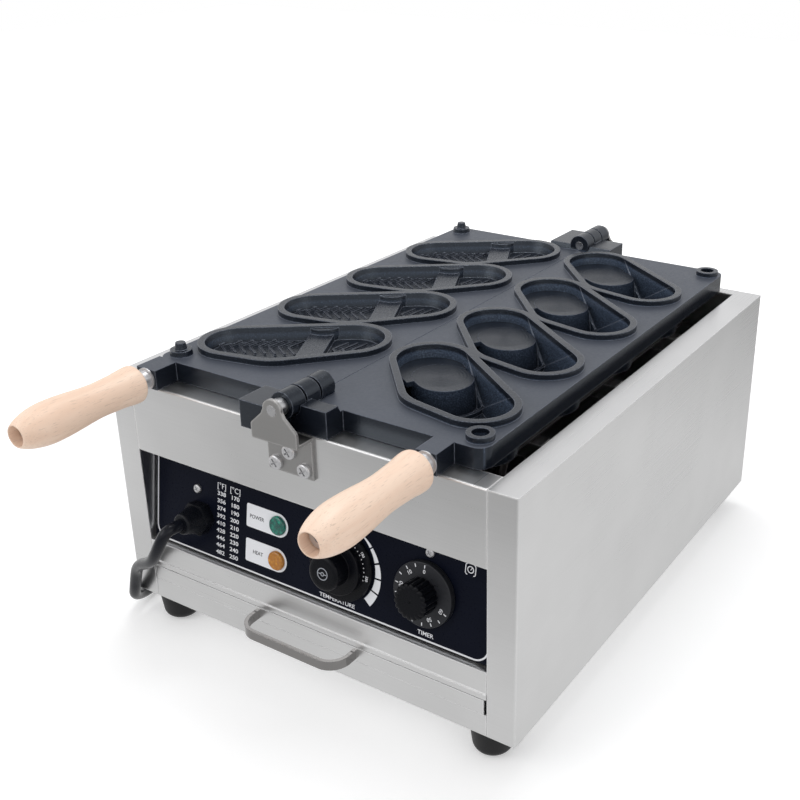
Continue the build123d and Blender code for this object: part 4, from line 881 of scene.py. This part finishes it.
class WAFFLE_OT_finishes(Operator):
    """Make every finish that the pieces share"""
    bl_idname = "waffle.finishes"
    bl_label = "Finishes"

    def execute(self, context):
        scene = context.scene
        steel = scene.waffle_steel
        brushed_steel("case_steel", steel.sheet_colour, steel.roughness)
        brushed_steel("bracket_steel", steel.bracket_colour, 0.36, 0.7, 1.5)
        for name, colour, roughness in (
            ("screw_steel", (0.66, 0.66, 0.65), 0.20), ("pin_steel", (0.55, 0.55, 0.56), 0.28),
            ("chrome_plate", (0.27, 0.262, 0.258), 0.10), ("copper_tube", (0.72, 0.34, 0.20), 0.28),
            ("heater_sheath", (0.16, 0.15, 0.15), 0.42),
        ):
            polished_metal(name, colour, roughness)
        mould_coating(scene.waffle_plates)
        beech(scene.waffle_wood)
        panel_film(scene.waffle_panel.film_colour)
        printed_ink("white_ink", scene.waffle_panel.ink_colour)
        printed_ink("dark_ink", (0.03, 0.03, 0.035))
        printed_ink("grey_ink", (0.36, 0.38, 0.42))
        cut_lens("green_lens_glass", (0.01, 0.46, 0.30), (0.0, 0.10, 0.08))
        cut_lens("amber_lens_glass", (0.92, 0.42, 0.01), (0.48, 0.17, 0.0))
        ringed_disc("timer_disc", (0.020, 0.021, 0.025), TIMER_AT, 0.32)
        plain_moulded("knob_plastic", (0.0025, 0.003, 0.005), 0.30, Specular_IOR_Level=0.14)
        plain_moulded("gland_nylon", (0.005, 0.006, 0.009), 0.26, 1800.0, 0.08,
                      Specular_IOR_Level=0.18)
        plain_moulded("foot_rubber", (0.006, 0.006, 0.007), 0.5, 1500.0, 0.3,
                      Specular_IOR_Level=0.3)
        plain_moulded("plug_rubber", (0.014, 0.015, 0.017), 0.44, 1500.0, 0.25)
        plain_moulded("tie_fabric", (0.02, 0.02, 0.022), 0.8, 900.0, 0.6)
        plain_moulded("switch_case", (0.05, 0.05, 0.055), 0.5)
        plain_moulded("pale_ceramic", (0.72, 0.69, 0.62), 0.5)
        plain_moulded("red_sleeve", (0.42, 0.03, 0.02), 0.45)
        cord_sheath(scene.waffle_cord.cord_colour)
        return {"FINISHED"}


class WAFFLE_OT_cord(Operator):
    """Lay the mains cord from its gland to the plug and tie its coil"""
    bl_idname = "waffle.cord"
    bl_label = "Gland and cord"

    def execute(self, context):
        settings = context.scene.waffle_cord
        rounded_copy("gland_body", "case", "gland_nylon")
        rounded_copy("gland_nut", "case", "gland_nylon", 40)
        plug = rounded_copy("mains_plug", "case", "plug_rubber", 40)
        pins = rounded_copy("plug_pins", "case", "screw_steel", 40)
        tie = self.tie()
        exit_at, straight_on = (panel_place(*GLAND_AT, out).translation for out in (20.0, 28.5))
        points = [exit_at, straight_on]
        points += [Vector((x, case_front / MM + y, z)) * MM for x, y, z in (
            (-111.6, -26.3, 116.0), (-115.2, -29.9, 107.6), (-121.3, -30.4, 96.0),
            (-130.3, -27.8, 84.4), (-142.2, -23.8, 75.8), (-155.0, -19.2, 68.3),
            (-166.4, -14.6, 58.2), (-173.8, -11.2, 44.6), (-179.8, -8.6, 31.2),
            (-186.8, -4.4, 19.8), (-193.2, 4.7, 11.2), (-198.2, 18.8, 6.1),
            (-202.0, 39.0, 5.05), (-205.6, 69.0, 5.05), (-209.5, 111.0, 5.05),
            (-214.5, 163.0, 5.05), (-218.5, 207.0, 5.05), (-220.6, 242.0, 5.05),
        )]
        points += [Vector((-221.0, y, LOWER_TURNS)) * MM for y in (83.55, 102.55)]
        points += self.coil()
        points += [Vector((-341.0, y, UPPER_TURNS)) * MM for y in (92.0, 66.05)]
        curve = bpy.data.curves.new("mains_cord_line", "CURVE")
        curve.dimensions = "3D"
        spline = curve.splines.new("NURBS")
        spline.points.add(len(points) - 1)
        for point, place in zip(spline.points, points):
            point.co = (*place, 1)
        spline.order_u = 3
        spline.use_endpoint_u = True
        spline.resolution_u = 10
        curve.bevel_depth = settings.diameter / 2
        curve.bevel_resolution = 8
        curve.use_fill_caps = True
        cord = new_piece("mains_cord_line", curve, "case", "cord_sheath")
        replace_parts(cord, "mains_cord", "cord_coil")
        return {"FINISHED"}

    def coil(self):
        """The coil's turns: three half turns in, one that climbs, three half turns out."""
        stations = [(radius, LOWER_TURNS) for radius in COIL_RADII]
        stations += [(radius, UPPER_TURNS) for radius in reversed(COIL_RADII)]
        steps = 8
        swell = 1 / (0.75 + 0.25 * math.cos(math.pi / steps))
        turns = []
        for k, ((near, low), (far, high)) in enumerate(zip(stations, stations[1:])):
            for part in (j / steps for j in range(steps)):
                ease = part * part * (3 - 2 * part)
                radius = (near + (far - near) * part) * swell
                place = polar(COIL_MIDDLE, radius, 180 * (k + part))
                turns.append(Vector((*place, low + (high - low) * ease)) * MM)
        last = (COIL_MIDDLE[0] - COIL_RADII[0], COIL_MIDDLE[1], UPPER_TURNS)
        return turns + [Vector(last) * MM]

    def tie(self):
        """A strap round the coil's turns."""
        def loop(left, right, low, high, corner):
            ring = arc((right - corner, low + corner), corner, -90, 0, 5)
            ring += arc((right - corner, high - corner), corner, 0, 90, 5)
            ring += arc((left + corner, high - corner), corner, 90, 180, 5)
            return ring + arc((left + corner, low + corner), corner, 180, 270, 5)
        outer = loop(38.9, 63.4, 0.02, 22.4, 3.2)
        inner = loop(39.8, 62.5, 0.27, 21.5, 2.4)
        band = slab(outer, -6.5, 6.5, [inner])
        flap = slab([(44, 22.3), (57, 22.3), (57, 23.2), (44, 23.2)], -6.2, 6.2)
        middle_x, middle_y = COIL_MIDDLE
        stand = Matrix(((0, 0, 1, middle_x), (1, 0, 0, middle_y), (0, 1, 0, 0), (0, 0, 0, 1)))
        place = Matrix.Scale(MM, 4) @ stand
        return gather("cord_tie", [(band, place), (flap, place)], "case",
                      "tie_fabric")


class WAFFLE_OT_case(Operator):
    """Dress the case, its sheet parts, brackets, screws, feet and tray"""
    bl_idname = "waffle.case"
    bl_label = "Case and tray"

    def execute(self, context):
        for node in (
            "left_side_panel", "right_side_panel", "front_fascia", "back_panel", "bottom_pan",
            "panel_sill", "control_panel", "heater_deck", "electrics_shelf", "left_tray_runner",
            "right_tray_runner", "drip_tray", "heater_supports",
        ):
            dress(node, "case_steel")
        for end in ("front", "rear"):
            rounded_copy(end + "_hinge_bracket", "case", "bracket_steel")
            rounded_copy(end + "_hinge_pin", "case", "pin_steel")
            rounded_copy(end + "_bracket_screws", "case", "screw_steel")
        rounded_copy("panel_screws", "case", "screw_steel")
        rounded_copy("tray_handle", "tray", "chrome_plate")
        for corner in ("front_left", "front_right", "back_left", "back_right"):
            rounded_copy("foot_" + corner, "case", "foot_rubber", 40)
        return {"FINISHED"}


class WAFFLE_OT_plates(Operator):
    """Smooth and coat the two mould plates"""
    bl_idname = "waffle.plates"
    bl_label = "Mould plates"

    def execute(self, context):
        rounded_copy("left_mould_plate", "left_leaf", "plate_coating", 32)
        pitch = context.scene.waffle_plates.mould_pitch * MM
        first = case_front + pitch
        cosine, sine = math.cos(MOULD_SLANT), math.sin(MOULD_SLANT)

        def low_rib(place):
            """Lower the curved rib beside each island to a ridge on the mould's floor."""
            x, y, z = place
            index = min(MOULD_COUNT - 1, max(0, round((y - first) / pitch)))
            off_x, off_y = x - MOULD_X, y - first - pitch * index
            along = (off_x * cosine - off_y * sine) / MM
            across = (off_x * sine + off_y * cosine) / MM
            reach = math.dist((along, across), RIB_MIDDLE)
            if RIB_FLOOR < z < RIB_TOP and min(abs(reach - r) for r in RIB_RADII) < 0.2:
                return Vector((x, y, RIB_FLOOR))
            return place

        rounded_copy("right_mould_plate", "right_leaf", "plate_coating", 32, low_rib)
        ledge = arc((-46, 6), 26.5, 90, 270, 24) + [(-36, -22), (-36, 30)]
        ledges = []
        for index in range(MOULD_COUNT):
            middle = Matrix.Translation((MOULD_X, first + pitch * index, 0))
            place = middle @ Matrix.Rotation(-MOULD_SLANT, 4, "Z") @ Matrix.Scale(MM, 4)
            ledges.append((slab(ledge, LEDGE_LOW, LEDGE_HIGH), place))
        gather("heel_ledges", ledges, "right_leaf", "plate_coating")
        return {"FINISHED"}


class WAFFLE_OT_handles(Operator):
    """Make the beech handles with their bolts and collars"""
    bl_idname = "waffle.handles"
    bl_label = "Handles"

    def execute(self, context):
        # (distance from the collar over the length, radius over the belly's radius)
        profile = [
            (0.0, 0.0), (0.0, 0.40), (0.002, 0.70), (0.016, 0.86), (0.045, 0.955), (0.09, 0.94),
            (0.16, 0.885), (0.25, 0.855), (0.34, 0.835), (0.42, 0.855), (0.50, 0.90),
            (0.58, 0.95), (0.66, 0.985), (0.74, 1.0), (0.81, 0.97), (0.87, 0.90), (0.92, 0.81),
            (0.96, 0.70), (0.985, 0.61), (0.998, 0.545), (0.9995, 0.51), (0.985, 0.495),
            (0.90, 0.49), (0.868, 0.485), (0.868, 0.30), (0.868, 0.0),
        ]
        collar_profile = [
            (4.3, -9.9), (8.2, -9.9), (8.6, -9.5), (8.6, -8.4), (6.9, -8.2), (6.9, 0.3),
            (4.3, 0.3), (4.3, -9.9),
        ]
        collar_length = 8.2 * MM
        belly_radius = 15.4
        for side in ("left", "right"):
            leaf = side + "_leaf"
            low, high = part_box(side + "_handle")
            root = high[1] - collar_length
            middle = Matrix.Translation(((low[0] + high[0]) / 2, root, (low[2] + high[2]) / 2))
            place = middle @ Matrix.Rotation(math.radians(90), 4, "X") @ Matrix.Scale(MM, 4)
            grip = lathe(profile, (root - low[1]) / MM, belly_radius, 64, "beech_wood")
            handle = gather(side + "_grip", [(grip, place)], leaf, "beech_wood")
            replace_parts(handle, side + "_handle")
            ring = turned(collar_profile, 48)
            mark_smooth(ring, 35)
            collar = gather(side + "_collar", [(ring, place)], leaf, "screw_steel")
            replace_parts(collar, side + "_handle_washer")
            rounded_copy(side + "_handle_bolt", leaf, "screw_steel")
        return {"FINISHED"}


class WAFFLE_OT_inside(Operator):
    """Dress the parts inside the case"""
    bl_idname = "waffle.inside"
    bl_label = "Inner parts"

    def execute(self, context):
        for finish, nodes in {
            "heater_sheath": ("left_heating_element", "right_heating_element"),
            "copper_tube": ("thermostat_bulb", "thermostat_capillary"),
            "switch_case": ("thermostat", "timer", "contactor"),
            "pale_ceramic": ("terminal_block",),
            "red_sleeve": ("internal_leads",),
            "cord_sheath": ("supply_lead",),
            "gland_nylon": ("gland_locknut",),
            "knob_plastic": ("power_lamp_body", "heat_lamp_body"),
            "pin_steel": ("thermostat_shaft", "timer_shaft"),
            "screw_steel": ("foot_bolts",),
        }.items():
            for node in nodes:
                dress(node, finish)
        return {"FINISHED"}


class WAFFLE_OT_print(Operator):
    """Dress the black panel film and lay the white print on it"""
    bl_idname = "waffle.print"
    bl_label = "Panel print"

    def execute(self, context):
        dress("panel_overlay", "panel_film")
        table = []
        for u, header, values in (
            (-89.6, "[°F]", range(338, 483, 18)), (-75.4, "[°C]", range(170, 251, 10)),
        ):
            table.append((word(header, 6.4), panel_place(u, 63.4)))
            for row, value in enumerate(values):
                digits = word(str(value), 4.8, 0.07, 1.26)
                table.append((digits, panel_place(u, 56.9 - 6.2 * row)))
        labels = [(self.label(u, v), panel_place()) for u, v in LAMPS_AT]
        words = [
            (word(text, 4.4, 0.03, 0.95, 0.1, 0.2), panel_place(at, v - 0.4))
            for (_, v), text, at in zip(LAMPS_AT, ("POWER", "HEAT"), (-52.6, -50.5))
        ]
        legends = [
            (word("TEMPERATURE", 4.5, 0.04, 1.12), panel_place(28.0, 5.5)),
            (word("TIMER", 4.6, 0.04, 1.08), panel_place(107.4, 6.2)),
        ]
        legends += [(part, panel_place(139.6, 66.6)) for part in self.clock()]
        for name, parts, ink in (
            ("scale_table", table, "white_ink"),
            ("panel_border", [(self.border(), panel_place())], "white_ink"),
            ("lamp_labels", labels, "white_ink"), ("lamp_words", words, "dark_ink"),
            ("panel_legends", legends, "white_ink"),
            ("heat_wedge", [(bar, panel_place()) for bar in self.wedge()], "white_ink"),
        ):
            gather(name, parts, "case", ink)
        return {"FINISHED"}

    def border(self):
        """The white line round the panel's sides and bottom edge, open at the top."""
        half, low, top, corner, wide = 159.8, 1.0, 91.0, 12.0, 1.3
        left, right = (corner - half, low + corner), (half - corner, low + corner)
        outer = [(-half, top)] + arc(left, corner, 180, 270, 10)
        outer += arc(right, corner, 270, 360, 10) + [(half, top)]
        inner = [(half - wide, top)] + arc(right, corner - wide, 360, 270, 10)
        inner += arc(left, corner - wide, 270, 180, 10) + [(wide - half, top)]
        return inked(outer + inner)

    def label(self, u, v):
        """A lamp's white label: square at its left end, round about the lamp."""
        left, radius, corner = -63.0, 9.6, 1.6
        ring = arc((left + corner, v + radius - corner), corner, 180, 90, 5)
        ring += arc((u, v), radius, 90, -90, 28)
        ring += arc((left + corner, v - radius + corner), corner, 270, 180, 5)
        return inked(ring)

    def clock(self):
        """The clock sign above the timer: two brackets round a dial with a hand."""
        upper, lower = (-2.4, 2.4), (-2.4, -2.4)
        bracket = arc(upper, 2.0, 90, 180, 6) + arc(lower, 2.0, 180, 270, 6)
        bracket += arc(lower, 1.3, 270, 180, 6) + arc(upper, 1.3, 180, 90, 6)
        parts = [inked([(side * x, y) for x, y in bracket]) for side in (-1, 1)]
        hand = inked([(-0.3, -0.4), (0.3, -0.4), (1.6, 1.7), (1.0, 1.9)])
        return parts + [hoop(2.7, 2.0, 24), hand]

    def wedge(self):
        """White bars that grow wider clockwise round the temperature knob."""
        centre, radius, steps = (31.1, 33.6), 35.2, 8
        bars = []
        for start, end, wide_start, wide_end in (
            (77, 61, 0.4, 1.0), (59, 43.5, 1.2, 2.4), (41.5, 23, 2.6, 3.9), (20.5, 2.5, 4.1, 5.1),
            (0, -18, 5.4, 6.2), (-20.5, -40, 6.5, 7.3),
        ):
            inner = []
            for part in (k / steps for k in range(steps + 1)):
                wide = wide_end + (wide_start - wide_end) * part
                inner.append(polar(centre, radius - wide, end + (start - end) * part))
            bars.append(inked(arc(centre, radius, start, end, steps) + inner))
        return bars


class WAFFLE_OT_knobs(Operator):
    """Turn the two control knobs, with their flutes, ticks and numbers"""
    bl_idname = "waffle.knobs"
    bl_label = "Knobs"

    def execute(self, context):
        self.temperature()
        self.timer(context.scene.waffle_panel)
        return {"FINISHED"}

    def bored(self, *steps):
        """A stepped disc of (radius, height, rounding) steps with a bore behind."""
        bore, deep, low = 5.6, 3.4, 0.6
        profile = [(0, deep), (bore, deep), (bore, low)]
        for radius, height, rounding in steps:
            profile += [(radius, low)]
            profile += arc((radius - rounding, height - rounding), rounding, 0, 90, 4)
            low = height
        disc = turned(profile + [(0, low)], 96)
        mark_smooth(disc, 35)
        return disc

    def numbers(self, at, height, reach, size, labels):
        """Numbers that stand round a control, each turned to its own angle."""
        numbers = []
        for angle, text in labels:
            turn = Matrix.Rotation(angle - math.pi / 2, 4, "Z")
            place = panel_place(*at, height) @ turn @ Matrix.Translation((0, reach, 0))
            numbers.append((word(text, size, 0.05), place))
        return numbers

    def temperature(self):
        at, rim, neck, cap = TEMPERATURE_AT, 4.2, 9.4, 23.2
        body = "temperature_control"
        disc = self.bored((28.0, rim, 0.5), (21.5, 9.6, 0.9))
        grip = fluted_grip(13.4, 13.8, 24, 0.12, 2.4, "knob_plastic")
        parts = [(disc, panel_place(*at)), (grip, panel_place(*at, neck))]
        knob = gather("temperature_dial", parts, body, "knob_plastic")
        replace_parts(knob, "temperature_knob")
        dots = radial_marks(12, math.radians(78), math.radians(-8.2), 22.3, 23.1, 0.8, "white_ink")
        labels = [(math.radians(a), text) for a, text in ((76, "50"), (36, "150"), (-6, "250"))]
        marks = [(dots, panel_place(*at, rim))] + self.numbers(at, rim, 25.4, 3.0, labels)
        gather("temperature_marks", marks, body, "white_ink")
        sign = [hoop(4.7, 4.1, 45), hoop(1.6, 1.0, 24)] + [
            inked([(x, -0.3), (x + 2.0, -0.3), (x + 2.0, 0.3), (x, 0.3)]) for x in (-3.6, 1.6)
        ]
        gather("temperature_mark", [(part, panel_place(*at, cap)) for part in sign], body,
               "grey_ink")

    def timer(self, settings):
        at, rim, neck = TIMER_AT, 5.6, 5.4
        body = "timer_control"
        disc = [(self.bored((24.5, rim, 0.7)), panel_place(*at))]
        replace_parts(gather("timer_dial", disc, body, "timer_disc"), "timer_knob")
        grip = fluted_grip(13.5, 15.2, settings.flutes, 1.5, 1.4, "knob_plastic")
        gather("timer_grip", [(grip, panel_place(*at, neck))], body,
               "knob_plastic")
        count = settings.timer_marks
        first, step = math.radians(88), settings.timer_sweep / (count - 1)
        ticks = radial_marks(count, first, step, 20.6, 23.0, 0.75, "white_ink")
        labels = [(first + step * index, str(5 * index)) for index in range(0, count, 2)]
        marks = [(ticks, panel_place(*at, rim))] + self.numbers(at, rim, 17.9, 4.2, labels)
        gather("timer_marks", marks, body, "white_ink")


class WAFFLE_OT_lamps(Operator):
    """Fit the coloured lamp lenses"""
    bl_idname = "waffle.lamps"
    bl_label = "Lamps"

    def execute(self, context):
        for name, slot in (("power", "green_lens"), ("heat", "amber_lens")):
            rounded_copy(name + "_lamp_lens", "case", slot + "_glass", 40)
        return {"FINISHED"}


class WAFFLE_PT_sidebar(Panel):
    """Lists the waffle maker's settings and the steps that build it"""
    bl_label = "Waffle maker"
    bl_idname = "WAFFLE_PT_sidebar"
    bl_space_type = "VIEW_3D"
    bl_region_type = "UI"
    bl_category = "Waffle maker"

    def draw(self, context):
        for name, group in SETTINGS.items():
            box = self.layout.box()
            box.label(text=group.__doc__)
            for field in group.__annotations__:
                box.prop(getattr(context.scene, name), field)
        for step in STEPS:
            self.layout.operator(step.bl_idname)


STEPS = (
    WAFFLE_OT_stage, WAFFLE_OT_finishes, WAFFLE_OT_cord, WAFFLE_OT_case, WAFFLE_OT_plates,
    WAFFLE_OT_handles, WAFFLE_OT_inside, WAFFLE_OT_print, WAFFLE_OT_knobs, WAFFLE_OT_lamps,
)
CLASSES = (*SETTINGS.values(), *STEPS, WAFFLE_PT_sidebar)


def register():
    """Add the settings, the steps and the panel to Blender."""
    for part in CLASSES:
        bpy.utils.register_class(part)
    for name, group in SETTINGS.items():
        setattr(bpy.types.Scene, name, PointerProperty(type=group))


def unregister():
    """Take them out again."""
    for name in SETTINGS:
        delattr(bpy.types.Scene, name)
    for part in reversed(CLASSES):
        bpy.utils.unregister_class(part)


def main():
    """Build everything in order."""
    register()
    for step in STEPS:
        call = getattr(bpy.ops.waffle, step.bl_idname.split(".")[1])
        if call() != {"FINISHED"}:
            raise RuntimeError(step.bl_label + " did not finish")


if __name__ == "__main__":
    main()
